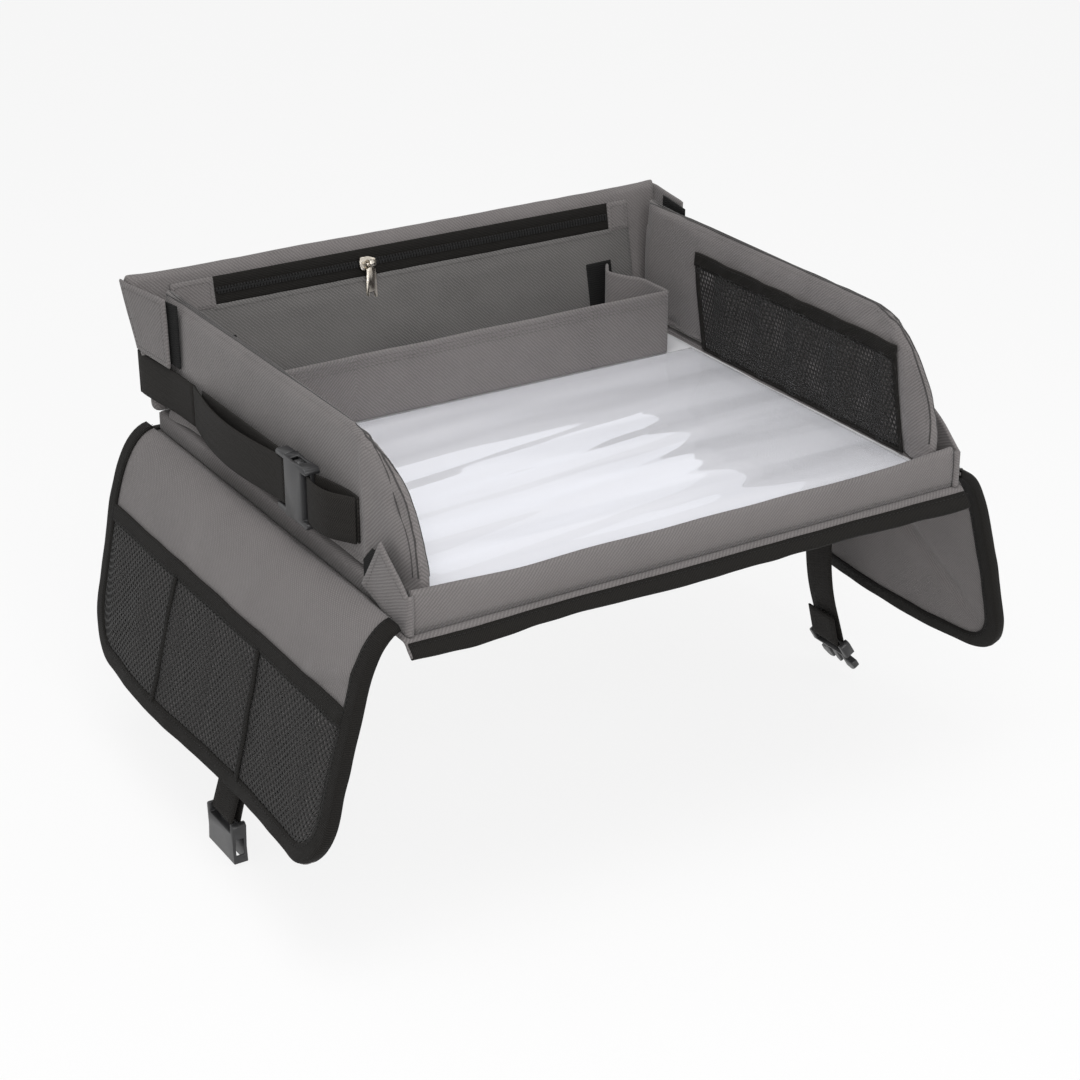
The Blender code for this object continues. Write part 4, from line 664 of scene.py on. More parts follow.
wall = {
    "front": -0.1742, "back": 0.1620, "top": 0.1075, "cornerReach": 0.0800, "cornerFoot": 0.0300,
    "foot": 0.0140, "crest": 0.0080, "edge": 0.0012, "crown": 0.0012, "shrink": 0.0013, "voxel": 0.0032,
    "seamDrop": 0.0016, "stitchDrop": 0.0030, "turnAt": -0.1240, "turn": 0.11, "facet": 0.0030,
    "facetReach": 0.006, "crease": 0.0011, "creaseWidth": 0.0028, "square": 0.0080, "spreadFoot": 2.2,
    "lowCrease": (-0.1500, 0.027, 0.27), "highCrease": (-0.1343, 0.085, 1.4),
    "waves": ((0.060, 0.0009, 3), (0.020, 0.00035, 8)),
}
wallFold = tray["halfWidth"] - wall["foot"]


def wallTop(y):
    start = wall["front"] + wall["cornerReach"]
    if y >= start:
        return wall["top"]
    share = min((start - y) / wall["cornerReach"], 1.0)
    return wall["cornerFoot"] + (wall["top"] - wall["cornerFoot"]) * sqrt(max(1 - share * share, 0))


def wallRing(side, y, top, inset):
    outer, inner = tray["halfWidth"] - inset, wallFold + inset
    bottom, top = tray["wallBottom"] + inset * 0.25, top - inset
    crestOut = outer - (wall["foot"] - wall["crest"]) * 0.3 + inset * 0.3
    crestIn = crestOut - wall["crest"] + inset * 1.4
    edge = wall["edge"]
    middle = bottom + (top - edge - bottom) * 0.5
    profile = [(outer, bottom), (outer, middle), (crestOut, top - edge), (crestOut - edge, top),
               ((crestOut + crestIn) / 2, top + edge / 3), (crestIn + edge, top), (crestIn, top - edge),
               ((crestIn + inner) / 2 - wall["crown"], middle), (inner, bottom + wall["crown"] * 2)]
    return [Vector((side * x, y, z)) for x, z in profile]


def wallStations(inset):
    front, reach = wall["front"] + inset, wall["cornerReach"]
    turn = [front + reach * (1 - cos(pi / 2 * i / 14)) for i in range(14)]
    return turn + spread(front + reach, wall["back"] - inset, 20)


def topLine(drop):
    # (y, z) along a wall's rounded front and its top, a drop inside its outline
    centre, foot = wall["front"] + wall["cornerReach"], wall["cornerFoot"]
    turn = [(centre - (wall["cornerReach"] - drop) * cos(t), foot + (wall["top"] - foot - drop) * sin(t))
            for t in spread(0.04, pi / 2, 24)]
    return turn + [(y, wall["top"] - drop) for y in spread(centre, wall["back"] - 0.003, 21)[1:]]


def innerFace(side, z, off):
    profile = sorted((p.z, abs(p.x)) for p in wallRing(right, 0, wall["top"], 0)[6:9])
    for (low, near), (high, far) in zip(profile, profile[1:]):
        if z <= high or high == profile[-1][0]:
            return side * (near + (far - near) * (z - low) / (high - low) - off)


def shapeFront(side, cover):
    # the front end of a wall turns in a little outside, stands proud inside, and both meet in soft creases
    outer, inner = tray["halfWidth"], wallFold
    centre, half, low = (outer + inner) / 2, (outer - inner) / 2, tray["wallBottom"]
    for vertex in cover.data.vertices:
        x, y, z = vertex.co
        foot = within(1 - (z - low) / wall["square"])
        if foot:
            wide = (abs(x) - centre) * (1 + wall["spreadFoot"] * foot)
            vertex.co.x = x = side * (centre + within(wide, -half, half))
            vertex.co.z = z = low + (z - low) * (1 - foot * 0.8)
        out = within((abs(x) - inner) / (outer - inner))
        past = wall["turnAt"] + 0.004 * ripple((0, 0, z), 0.05, side) - y
        ridge = wall["crease"] * exp(-(past / wall["creaseWidth"]) ** 2)
        turn = wall["turn"] * past if past > 0 else 0
        start, level, slope = wall["lowCrease"] if z < wall["highCrease"][1] else wall["highCrease"]
        line = start + (z - level) * slope
        proud = wall["facet"] * within((line - y) / wall["facetReach"])
        proud += wall["crease"] * exp(-((y - line) / wall["creaseWidth"]) ** 2)
        vertex.co.x -= side * ((turn - ridge) * out + proud * (1 - out))
    return cover


def makeWall(side, label):
    body = label + "_wall"
    rings = [wallRing(side, y, wallTop(y), wall["shrink"]) for y in wallStations(wall["shrink"])]
    cover = loft(body + "_padding", rings, grey)
    near, far = wallFold - 0.0004, tray["halfWidth"] + 0.0002
    low = (min(side * near, side * far), wall["front"] - 0.0002, tray["wallBottom"])
    high = (max(side * near, side * far), wall["back"] + 0.0002, wall["top"] + 0.0004)
    cover = shapeFront(side, inflate(cover, wall["voxel"], low, high))
    cover = boxUv(crumple(cover, [(size, depth, seed + side) for size, depth, seed in wall["waves"]]))
    skin = surfaceOf(cover)
    place(cover, body, body + "_cover")
    for name, way in (("outer", (-side, 0, 0)), ("inner", (side, 0, 0))):
        for drop in (wall["seamDrop"], wall["seamDrop"] + wall["stitchDrop"]):
            x = side * (tray["halfWidth"] - 0.004)
            line = laid(skin, [Vector((x, y, z)) for y, z in topLine(drop)], way, -0.0001)
            if drop == wall["seamDrop"]:
                # the seam's piping is dark grey: painted shadow of the groove along the seam
                piping(body + "_seam_" + name, line, 0.00065, paintedSeamShadow, body)
            else:
                stitchRow(body, line, greyThread)
    line, x = [], side * (tray["halfWidth"] - wall["crest"] + 0.0018)
    # the welt, near the crest's inside
    for (farY, farZ), (nearY, nearZ) in zip(topLine(-0.010), topLine(0.004)):
        way = Vector((0, nearY - farY, nearZ - farZ)).normalized()
        hit = skin.ray_cast(Vector((x, farY, farZ)), way)[0]
        if hit:
            line.append(hit)
    for _ in range(2):
        line = line[:1] + [(a + b + c) / 3 for a, b, c in zip(line, line[1:], line[2:])] + line[-1:]
    # the welt is piped in the same dark grey: painted shadow along it
    piping(body + "_welt", line, 0.00045, paintedSeamShadow, body)


for side, label in sides:
    makeWall(side, label)
for side, label in sides:  # the sewn fold that the wall swings on
    line = [(side * wallFold, y, tray["wallBottom"] - 0.0001)
            for y in spread(wall["front"], wall["back"], 60)]
    piping(label + "_wall_fold_seam", line, 0.0005, grey, "base")
print("side walls done")

loopStrip = {"front": 0.1345, "back": 0.1617, "low": 0.0620, "high": 0.1000, "off": 0.0008}
for side, label in sides:
    def loopSkin(y, z):
        off = loopStrip["off"] + 0.0001 * ripple((0, y, z), 0.01, side)
        return (side * (tray["halfWidth"] + off), y, z)

    strip = shell(label + "_loop_strip", loopSkin, spread(loopStrip["front"], loopStrip["back"], 16),
                  spread(loopStrip["low"], loopStrip["high"], 14), 0.0010, hookTape)
    place(strip, label + "_wall", label + "_wall_loop_strip", slot="black_tape")


# ---- mesh pockets

net = {"yarn": 0.00045, "point": 0.22}


def netPiece(name, at, width, height, cellAlong, cellUp, hole):
    # brick-laid six-sided cells over at(u, v), each opened into a hole
    columns, rows = int(width / cellAlong) * 2, int(height / cellUp)
    points, found, faces = [], {}, []
    for j in range(rows + 1):
        for k in range(columns + 1):
            lean = net["point"] * (-1 if (k + j) % 2 else 1)
            v = within((j + (lean if 0 < j < rows else 0)) / rows)
            found[j, k] = len(points)
            points.append(Vector(at(k / columns, v)))
    for j in range(rows):
        for k in range(j % 2, columns - 1, 2):
            faces.append((found[j, k], found[j, k + 1], found[j, k + 2], found[j + 1, k + 2],
                          found[j + 1, k + 1], found[j + 1, k]))
    piece = newPiece(name, points, faces, netYarn)
    runTree(piece, netTree, {"Hole": hole, "Finish": netYarn})
    solid = piece.modifiers.new("yarn", "SOLIDIFY")
    solid.thickness = net["yarn"]
    solid.offset = 0
    return boxUv(facesOut(allSmooth(bake(piece, name))))


innerNet = {"front": -0.1330, "back": 0.0900, "low": 0.0196, "high": 0.0800, "skew": 0.0150, "gather": 0.0046,
            "pitch": 0.043, "elastic": 0.0092, "cell": (0.0032, 0.0030, 0.60), "keep": 0.12}
elasticStitch = stitchSize(0.0030, 0.0021, 0.0004)


def makeInnerNet(side, label):
    body = label + "_wall"

    def deep(y):
        return (0.5 + 0.5 * sin(y * 2 * pi / innerNet["pitch"] + 2.4 * ripple((side, y, 0), 0.07, 2))) ** 2.2

    def at(u, v):
        # gathered: folds fade from the elastic down to the sewn bottom edge
        y = innerNet["front"] + (innerNet["back"] - innerNet["front"]) * u - innerNet["skew"] * (1 - v)
        z = innerNet["low"] + (innerNet["high"] - innerNet["low"]) * v
        out = 0.0013 + innerNet["gather"] * deep(y) * (0.25 + 0.75 * v) * sin(pi * within(u * 12) / 2)
        return (innerFace(side, z, out + 0.0005 * ripple((0, y, z), 0.012, side)), y, z)

    def band(y, z):
        out = 0.0018 + innerNet["gather"] * (0.15 + deep(y) * 0.30)
        return (innerFace(side, z, out), y, z + 0.0003 * ripple((0, y, 0), 0.03, 5 + side))

    def lowStrip(u, a):
        y, z = at(u, 0)[1], innerNet["low"] + a
        return (innerFace(side, z, 0.0017 + 0.0003 * deep(y)), y, z)

    width, height = innerNet["back"] - innerNet["front"], innerNet["high"] - innerNet["low"]
    pocket = place(netPiece(label + "_inner_net", at, width, height, *innerNet["cell"]), body,
                   label + "_wall_net", slot="black_mesh")
    low = innerNet["high"] - 0.0012
    elastic = shell(label + "_net_elastic", band,
                    spread(innerNet["front"] - 0.001, innerNet["back"] + 0.001, 110),
                    spread(low, low + innerNet["elastic"], 5), 0.0013, tape)
    elastic = place(elastic, body, slot="black_tape")
    for z in (low + 0.0014, low + innerNet["elastic"] - 0.0014):
        line = [Vector(band(y, z)) + Vector((-side * 0.00075, 0, 0))
                for y in spread(innerNet["front"], innerNet["back"], 110)]
        stitchRow(body, line, blackThread, elasticStitch)
    edges = []
    for u, name, off in ((0.0, "front", 0.0029), (1.0, "back", 0.0021)):
        def strip(a, v):
            x, y, z = at(u, v)
            return (innerFace(side, z, off), y + a, z)
        edges.append(shell(label + "_net_edge_" + name, strip, spread(-0.0018, 0.0018, 4), spread(0, 1.0, 12),
                           0.0012, tape))
    edges.append(shell(label + "_net_edge_low", lowStrip, spread(0, 1, 90), spread(-0.001, 0.001, 3),
                       0.0010, tape))
    edging = place(joinPieces(label + "_net_edges", edges), body, slot="black_tape")
    # each of these pieces gets a mesh of its own
    for piece in (pocket, elastic, edging):
        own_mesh(piece)


for side, label in sides:
    makeInnerNet(side, label)
print("inner nets done")


# ---- back wall with its zipped pocket

back = {
    "foot": 0.0140, "crest": 0.0110, "top": 0.1125, "lean": radians(10.9), "halfWidth": 0.2000,
    "topHalfWidth": 0.2118, "shrink": 0.0013, "voxel": 0.0048, "low": (-0.2126, -0.001),
    "high": (0.2126, 0.1965), "seam": (0.1940, 0.1075), "seamHalf": 0.2045,
    "waves": ((0.060, 0.0006, 2), (0.018, 0.0003, 6)),
}
backFront = tray["back"] - back["foot"]


def onBack(x, height, off):
    lean = back["lean"]
    return Vector((x, backFront + height * sin(lean) - off * cos(lean),
                   tray["wallBottom"] + height * cos(lean) + off * sin(lean)))


def backHalfWidth(z):
    share = (z - tray["wallBottom"]) / (back["top"] - tray["wallBottom"])
    return back["halfWidth"] + (back["topHalfWidth"] - back["halfWidth"]) * share


def backEdge(z):
    high = back["top"] - back["crest"] / 2
    top = backFront + (high - tray["wallBottom"]) * tan(back["lean"]) + back["crest"]
    return tray["back"] + (top - tray["back"]) * (z - tray["wallBottom"]) / (high - tray["wallBottom"])


def backOutline(inset):
    low, radius = tray["wallBottom"] + inset, back["crest"] / 2 - inset
    high = back["top"] - back["crest"] / 2
    y = backFront + (high - tray["wallBottom"]) * tan(back["lean"]) + back["crest"] / 2
    side = [(backFront + inset, low), (tray["back"] - inset, low)]
    return side + [(y + radius * cos(pi * i / 8), high + radius * sin(pi * i / 8)) for i in range(9)]


def makeBackWall():
    outline = backOutline(back["shrink"])
    rings = [[Vector((share * (backHalfWidth(z) - back["shrink"]), y, z)) for y, z in outline]
             for share in spread(-1, 1, 60)]
    cover = inflate(loft("back_wall_padding", rings, grey), back["voxel"],
                    (back["low"][0], backFront + back["low"][1], tray["wallBottom"]),
                    (*back["high"], back["top"] + 0.0012))
    for vertex in cover.data.vertices:  # its front stays flat for the pocket
        y, z = vertex.co.y - backFront, vertex.co.z - tray["wallBottom"]
        off = z * sin(back["lean"]) - y * cos(back["lean"])
        if off > 0:
            vertex.co.y += off * cos(back["lean"])
            vertex.co.z -= off * sin(back["lean"])
    skin = surfaceOf(boxUv(crumple(cover, back["waves"])))
    place(cover, "back_wall", "back_wall_cover")
    y, z = back["seam"]
    line = [Vector((x, y, z + 0.0004 * ripple((x, 0, 0), 0.03, 3)))
            for x in spread(-back["seamHalf"], back["seamHalf"], 90)]
    # dark grey piping: painted shadow along the seam
    piping("back_wall_seam", laid(skin, line, (0, -1, 0), -0.0001), 0.0006, paintedSeamShadow, "back_wall")
    line = [p - Vector((0, 0, wall["stitchDrop"])) for p in line]
    stitchRow("back_wall", laid(skin, line, (0, -1, 0), -0.00012), greyThread)


makeBackWall()
print("back wall done")

pocket = {"halfWidth": 0.1830, "low": 0.0010, "zipLow": 0.0675, "tape": 0.0070, "chain": 0.0050,
          "shift": 0.0070, "half": 0.1600, "thick": 0.0016, "slack": 0.0030, "pitch": 0.0023, "tooth": 0.0013,
          "rim": 0.0024}
pocketHigh = pocket["zipLow"] + 2 * pocket["tape"] + pocket["chain"]


def pocketOut(x, h):
    # the pocket's slack: it swells a little below the zipper and hangs in soft diagonal folds
    edge = min(1.0, (pocket["halfWidth"] - abs(x)) / 0.030) * min(1.0, h / 0.012)
    edge *= min(1.0, max(pocket["zipLow"] - h, 0) / 0.012)
    fold = 0.5 + 0.5 * sin((x * 0.6 + h) * 2 * pi / 0.085 + 2.0 * ripple((x, h, 0), 0.07, 7))
    return pocket["slack"] * edge * (0.35 + 0.65 * fold) + 0.0003 * ripple((x, h, 0), 0.012, 2)


def makePocket():
    zipLeft, zipRight = pocket["shift"] - pocket["half"], pocket["shift"] + pocket["half"]
    zipLow, rim, thick = pocket["zipLow"], pocket["rim"], pocket["thick"]
    off = tray["fit"] + thick / 2 + 0.0001
    # the panel is made from the darker pocket cloth: painted shade
    pieces = [shell("zip_pocket_panel", lambda x, h: onBack(x, h, off + pocketOut(x, h)),
                    spread(-pocket["halfWidth"], pocket["halfWidth"], 130),
                    spread(pocket["low"], zipLow - 0.0003, 30), thick, pocketShadeGrey)]

    def endTab(x, h):
        return onBack(x, h, off + 0.0004 + 0.0002 * ripple((x, h, 0), 0.01, 1))

    for low, high in ((-pocket["halfWidth"], zipLeft), (zipRight, pocket["halfWidth"])):
        pieces.append(shell("zip_end_tab", endTab, spread(low, high, 12),
                            spread(zipLow - 0.0012, pocketHigh, 10), thick, grey))
        corners = [(low + rim, zipLow + 0.001), (high - rim, zipLow + 0.001), (high - rim, pocketHigh - rim),
                   (low + rim, pocketHigh - rim), (low + rim, zipLow + 0.001)]
        stitchRow("back_wall", [onBack(x, h, off + 0.0014) for x, h in along(corners, 6)], greyThread,
                  shortStitch)
    whole = place(joinPieces("zip_pocket_panel", pieces), "back_wall", "zip_pocket_front")
    for name, edge, way in (("lower", zipLow, 1), ("upper", pocketHigh, -1)):
        tapes = shell("zipper_tape_" + name,
                      lambda x, h: onBack(x, h, 0.0009 + 0.00015 * ripple((x, h, 0), 0.02, 4)),
                      spread(zipLeft, zipRight, 120),
                      sorted((edge, edge + way * 0.0035, edge + way * 0.0095)), 0.0010, tape)
        at = zipLow + pocket["tape"] + pocket["chain"] / 2 - way * 0.00085
        start = zipLeft + 0.003 + way * pocket["pitch"] / 4
        teeth = beads("zipper_teeth_" + name,
                      [onBack(x, at, 0.0020) for x in spread(start, zipRight - 0.003, 60)], toothTree,
                      {"Pitch": pocket["pitch"], "Length": pocket["tooth"], "Width": 0.0014, "Height": 0.0026,
                       "Finish": blackThread})
        place(joinPieces("zipper_tape_" + name, [tapes, teeth]), "back_wall", "zipper_half_" + name,
              slot="black_tape")
    h = zipLow - 0.0026
    stitchRow("back_wall",
              [onBack(x, h, 0.0025 + pocketOut(x, h)) for x in spread(zipLeft, zipRight, 120)],
              greyThread)


makePocket()
for node, body in (("zipper_slider", "slider"), ("zipper_puller", "puller")):
    place(rounded(node, 0.00045, nickel), body, node, slot="nickel")
print("zipped pocket done")


# ---- flaps from the back wall round the side walls' ends

flap = {"thick": 0.0022, "low": 0.0620, "high": 0.1090, "front": 0.1400, "hookFront": 0.1295,
        "hookBack": 0.1660, "hookLow": 0.0640, "hookHigh": 0.1070, "flat": (0.0500, 0.0470), "rim": 0.07}


def flapKnee(z):
    return backFront + (z - tray["wallBottom"]) * tan(back["lean"]) - tray["fit"]


def flapPoint(side, y, z, off):
    root, end = backHalfWidth(z) + tray["fit"], tray["hookFace"] + 0.0015
    share = within((flapKnee(z) - y) / (flapKnee(z) - flap["hookFront"]))
    return Vector((side * (root + (end - root) * share + off), y, z))


for side, label in sides:
    def flapSkin(u, v):
        z = flap["low"] + (flap["high"] - flap["low"]) * v
        y = flap["front"] + (backEdge(z) - 0.001 - flap["front"]) * u
        return flapPoint(side, y, z, flap["thick"] / 2 + 0.0003 + 0.0006 * ripple((side, y, z), 0.03, 3))

    def flapHook(y, z):
        return flapPoint(side, y, z, -0.0010 + 0.00008 * ripple((0, y, z), 0.004, 1))

    cloth = shell("flap_" + label, flapSkin, spread(0, 1, 30), spread(0, 1, 24), flap["thick"], grey)
    place(cloth, label + "_flap", "back_flap_" + label)
    hook = shell("flap_hook_patch_" + label, flapHook, spread(flap["hookFront"], flap["hookBack"], 20),
                 spread(flap["hookLow"], flap["hookHigh"], 14), 0.0010, hookTape)
    place(hook, label + "_flap", "flap_hook_" + label, slot="black_tape")
    rim = flap["rim"]
    corners = [(rim, rim), (1 - rim, rim), (1 - rim, 1 - rim), (rim, 1 - rim), (rim, rim)]
    off = Vector((side * (flap["thick"] / 2 + 0.0001), 0, 0))
    line = [flapSkin(u, v) + off for u, v in along(corners, 8)]
    stitchRow(label + "_flap", line + line[:1], greyThread, shortStitch)


# ---- base, floor and film

base = softCopy("base_cover", 0.0030, grey, ((0.050, 0.0003, 1), (0.015, 0.00015, 5)))
place(base, "base", "base_cover")

floor = {"half": 0.1832, "front": -0.1697, "back": 0.1637, "level": 0.0158, "thick": 0.0010}
vinylSize = {"half": 0.1797, "front": -0.1662, "back": 0.0865, "level": 0.0175, "thick": 0.00035,
             "wave": 0.00072, "rise": 0.0008, "pitch": 0.027, "slant": 0.13}


def floorPoint(x, y):
    return (x, y, floor["level"] + 0.0006 + 0.0002 * ripple((x, y, 0), 0.06, 2))


whiteFloor = shell("white_floor", floorPoint, spread(-floor["half"], floor["half"], 60),
                   spread(floor["front"], floor["back"], 60), floor["thick"], whiteSheet)
place(whiteFloor, "base", "floor_sheet", slot="white_sheet")


def filmPoint(x, y):
    # long shallow ripples that run across the tray and a little backwards
    edge = min(1.0, (vinylSize["half"] - abs(x)) / 0.016) * min(1.0, (y - vinylSize["front"]) / 0.016)
    edge = max(edge * min(1.0, (vinylSize["back"] - y) / 0.014), 0)
    run = y - x * vinylSize["slant"]
    wave = 1.8 * ripple((x * 0.10, run, 0), vinylSize["pitch"], 3)
    wave += 0.12 * ripple((x * 0.2, run, 0), 0.012, 7)
    return (x, y, vinylSize["level"] + vinylSize["rise"] * edge + vinylSize["wave"] * edge * wave)


vinyl = shell("floor_film", filmPoint, spread(-vinylSize["half"], vinylSize["half"], 150),
              spread(vinylSize["front"], vinylSize["back"], 150), vinylSize["thick"], film)
place(vinyl, "base", "clear_film", slot="clear_film")
print("base and floor done")


# ---- bottom sheet and its bindings

droop = {"length": 0.0125, "tilt": radians(48), "hem": 0.0010, "wave": 0.0030, "tape": 0.0010, "bare": 0.0032,
         "stitchAt": 0.0062}
sheetBack = {"lift": 0.00065, "thin": 0.0012, "hidden": 0.0170, "seamHalf": 0.1645}


def frontWave(x, reach):
    # the soft front margin dips and lifts along its length
    share = within(reach / droop["length"], 0, 1.2)
    return droop["wave"] * share * (ripple((x, 0.3, 0), 0.060, 2) + 0.35 * ripple((x, 0.1, 0), 0.021, 5))


def droopPoint(x, reach, off):
    start, half = tray["front"] - droop["hem"], tray["sheet"] / 2
    if reach <= 0:
        return Vector((x, start - reach, half + off))
    turn = droop["tilt"] * (1 - exp(-reach / 0.0035))
    y, z = start - reach * cos(turn * 0.9), half - reach * sin(turn * 0.9)
    return Vector((x, y - off * sin(turn), z + off * cos(turn) + frontWave(x, reach)))


def makeBottomSheet():
    end, half = tray["sheetBack"] - 0.0002, tray["sheetHalf"]
    level = tray["front"] - droop["hem"]
    reaches = [level - end * (1 - i / 40) - level * (i / 40) for i in range(40)]
    reaches += spread(0, droop["length"], 10)

    def inBinding(reach):
        # the sheet is thinner and lifted where the back binding wraps it
        return within((-reach + level - (end - sheetBack["hidden"])) / 0.002)

    def lay(x, reach):
        return droopPoint(x, reach, sheetBack["lift"] * inBinding(reach))

    def thick(x, reach):
        return tray["sheet"] - sheetBack["thin"] * inBinding(reach)

    pieces = [shell("bottom_sheet_cloth", lay, spread(-half, half, 90), reaches, thick, grey)]
    ys = spread(-sheetBack["seamHalf"], sheetBack["seamHalf"], 80)
    for side, label in sides:
        def seam(y, z):
            return (side * (half + 0.0002 * ripple((0, y, z), 0.02, 1)), y, z)
        pieces.append(shell("side_seam", seam, ys, spread(0.0018, 0.0076, 3), 0.0024, grey))
    whole = place(joinPieces("bottom_sheet_cloth", pieces), "base", "bottom_sheet")


def bindSection(width, inner, outer, fold):
    # a bias tape wrapped round an edge, as (distance in from its fold, distance off the middle)
    half = [(width, outer), (width * 0.66, outer + 0.0002), (width * 0.33, outer + 0.0001),
            (0.0012, outer), (0.0002, outer * 0.72)]
    inside = [(width, -inner), (fold + 0.0006, -inner), (fold, 0), (fold + 0.0006, inner), (width, inner)]
    return half + [(-0.0001, 0)] + [(a, -off) for a, off in reversed(half)] + inside


def makeBindings():
    half, thick = tray["sheetHalf"], droop["tape"]
    inner = tray["sheet"] / 2 + 0.0003
    outer, edge = inner + thick, droop["length"] + 0.0003 + thick
    section = bindSection(edge - thick - droop["bare"], inner, outer, thick)
    rings = [[droopPoint(x, edge - a, off + 0.0002 * ripple((x, a, 0), 0.012, 4)) for a, off in section]
             for x in spread(-half, half, 200)]
    place(loft("front_bias_tape", rings, tape), "base", "front_binding", slot="black_tape")
    stitchRow("base", [droopPoint(x, droop["stitchAt"], outer + 0.00032) for x in spread(-half, half, 200)],
              blackThread, tapeStitch)
    fold = tray["sheetBack"] + 0.0013
    section = [(fold - 0.0069, 0.0035), (fold - 0.0006, 0.0035), (fold, 0.0026), (fold, 0.0007),
               (fold - 0.0006, 0.0001), (fold - 0.0160, 0.0001), (fold - 0.0160, 0.0010),
               (fold - 0.0012, 0.0010), (fold - 0.0012, 0.0025), (fold - 0.0069, 0.0025)]
    rings = [[Vector((x, y, z)) for y, z in section] for x in spread(-half, half, 60)]
    place(loft("back_bias_tape", rings, tape), "base", "back_binding", slot="black_tape")


makeBottomSheet()
makeBindings()


# ---- front lip, its corner tabs and the stitched white hem behind it

lip = {"thick": 0.0055, "top": 0.0260, "bottom": 0.0027, "wave": 0.0011, "half": 0.199, "stitchAt": 0.0052}


def lipRing(x):
    y0, y1 = tray["front"], tray["front"] + lip["thick"]
    near = 1 - min(abs(x) / lip["half"], 1)
    top = lip["top"] + lip["wave"] * ripple((x, 0, 0), 0.050, 4) + 0.0035 * (1 - near) ** 6
    puff = 0.0007 + 0.0006 * ripple((x, 1, 0), 0.028, 7)
    crest, mid = lip["thick"] / 2, (y0 + y1) / 2
    ring = [(y1, lip["bottom"]), (y1 + 0.0001, 0.0070), (y1 + 0.0001, 0.0170), (y1, top - crest)]
    ring += [(mid + crest * cos(pi * i / 6), top - crest + crest * sin(pi * i / 6)) for i in range(1, 6)]
    ring += [(y0, top - crest), (y0 - puff, 0.0190), (y0 - puff * 1.3, 0.0130), (y0 - puff, 0.0075),
             (y0, lip["bottom"])]
    wobble = 0.0004 * ripple((x, 2, 0), 0.034, 9)
    return [Vector((x, y + wobble, z)) for y, z in ring]


lipCloth = loft("lip_padding", [lipRing(x) for x in spread(-lip["half"], lip["half"], 160)], grey)
place(lipCloth, "lip", "lip_cover")
line = [Vector((x, tray["front"] - 0.01, lip["stitchAt"] + 0.0003 * ripple((x, lip["stitchAt"], 0), 0.04, 3)))
        for x in spread(0.0015 - lip["half"], lip["half"] - 0.0015, 160)]
stitchRow("lip", laid(surfaceOf(lipCloth), line, (0, 1, 0), 0.00012), greyThread)

hemSize = {"front": -0.1741, "back": -0.1650, "top": 0.0184, "half": 0.1845, "thick": 0.0011}


def hemPoint(x, v):
    y = hemSize["front"] + (hemSize["back"] - hemSize["front"]) * v
    z = hemSize["top"] - 0.0003 * v + 0.0004 * ripple((x, v * 0.01, 0), 0.018, 3)
    return (x, y, z + 0.0010 * sin(pi * min(v * 1.3, 1)))


hem = shell("floor_hem", hemPoint, spread(-hemSize["half"], hemSize["half"], 120), spread(0, 1, 6),
            hemSize["thick"], whiteSheet)
place(hem, "base", slot="white_sheet")
stitchRow("base", [Vector((x, -0.1682, 0.0198 + 0.0003 * ripple((x, 0.007, 0), 0.018, 3)))
                   for x in spread(-0.184, 0.184, 120)], paleThread)

tab = {"inner": 0.2019, "thick": 0.0022, "hookX": 0.2011, "hookFront": -0.1470, "hookBack": -0.1250,
       "hookLow": 0.0180, "hookHigh": 0.0218, "hookKnee": -0.1360, "rim": 0.09, "flat": (0.0520, 0.0370)}
tabCorners = [Vector(p) for p in ((-0.1800, 0.0031), (-0.1262, 0.0140), (-0.1500, 0.0492), (-0.1800, 0.0270))]


def tabPlace(u, v):
    a, b, c, d = tabCorners
    low, high = a.lerp(b, u), d.lerp(c, u)
    return low.lerp(high, v) - Vector((0, 0.0010 * sin(pi * u) * (1 - 2 * v)))


for side, label in sides:
    def tabSkin(u, v):
        y, z = tabPlace(max(u, 0), v)
        x = tab["inner"] + tab["thick"] / 2 + 0.0012 * sin(pi * within(u)) * sin(pi * v)
        x += 0.0005 * ripple((side, y, z), 0.016, 6)
        if u < 0:  # the end that wraps round the lip's corner
            return (side * (x + u * 0.045), y - 0.0012 * sin(pi * min(-u / 0.06, 1)) - 0.0006, z)
        return (side * x, y, z)

    def tabHook(y, v):
        return (side * tab["hookX"], y, tab["hookLow"] + v * (tab["hookHigh"] - max(y - tab["hookKnee"], 0)))

    us = [-0.06, -0.045, -0.03, -0.015] + spread(0, 1, 26)
    cloth = shell("lip_corner_tab_" + label, tabSkin, us, spread(0, 1, 20), tab["thick"], grey)
    place(cloth, "lip", "lip_tab_" + label)
    rim = tab["rim"]
    off = Vector((side * (tab["thick"] / 2 + 0.0001), 0, 0))
    corners = [(0.02, rim), (1 - rim, rim), (1 - rim, 1 - rim), (0.02, 1 - rim)]
    stitchRow("lip", [Vector(tabSkin(u, v)) + off for u, v in along(corners, 12)], greyThread, shortStitch)
    hook = shell("lip_hook_patch_" + label, tabHook, spread(tab["hookFront"], tab["hookBack"], 14),
                 spread(0, 1, 10), 0.0009, hookTape)
    place(hook, "lip", "tab_hook_" + label, slot="black_tape")
print("bottom sheet and lip done")


# ---- organiser bin at the back

organiser = {"front": 0.0881, "low": 0.0186, "top": 0.0640, "middle": 0.0949, "end": 0.1590, "pleat": 0.0130,
             "ply": 0.0022, "depth": 0.0727, "rows": (0.0030, 0.0060, 0.0082), "keep": 0.1,
             "patch": (0.1420, 0.1640, 0.0080, 0.0450)}
organiserUp = spread(organiser["low"], organiser["top"], 26)


def organiserWave(a, z):
    share = within((z - organiser["low"]) / 0.030)
    return share * (0.0014 * ripple((a, z, 0), 0.050, 5) + 0.0004 * ripple((a, z, 0), 0.014, 8))


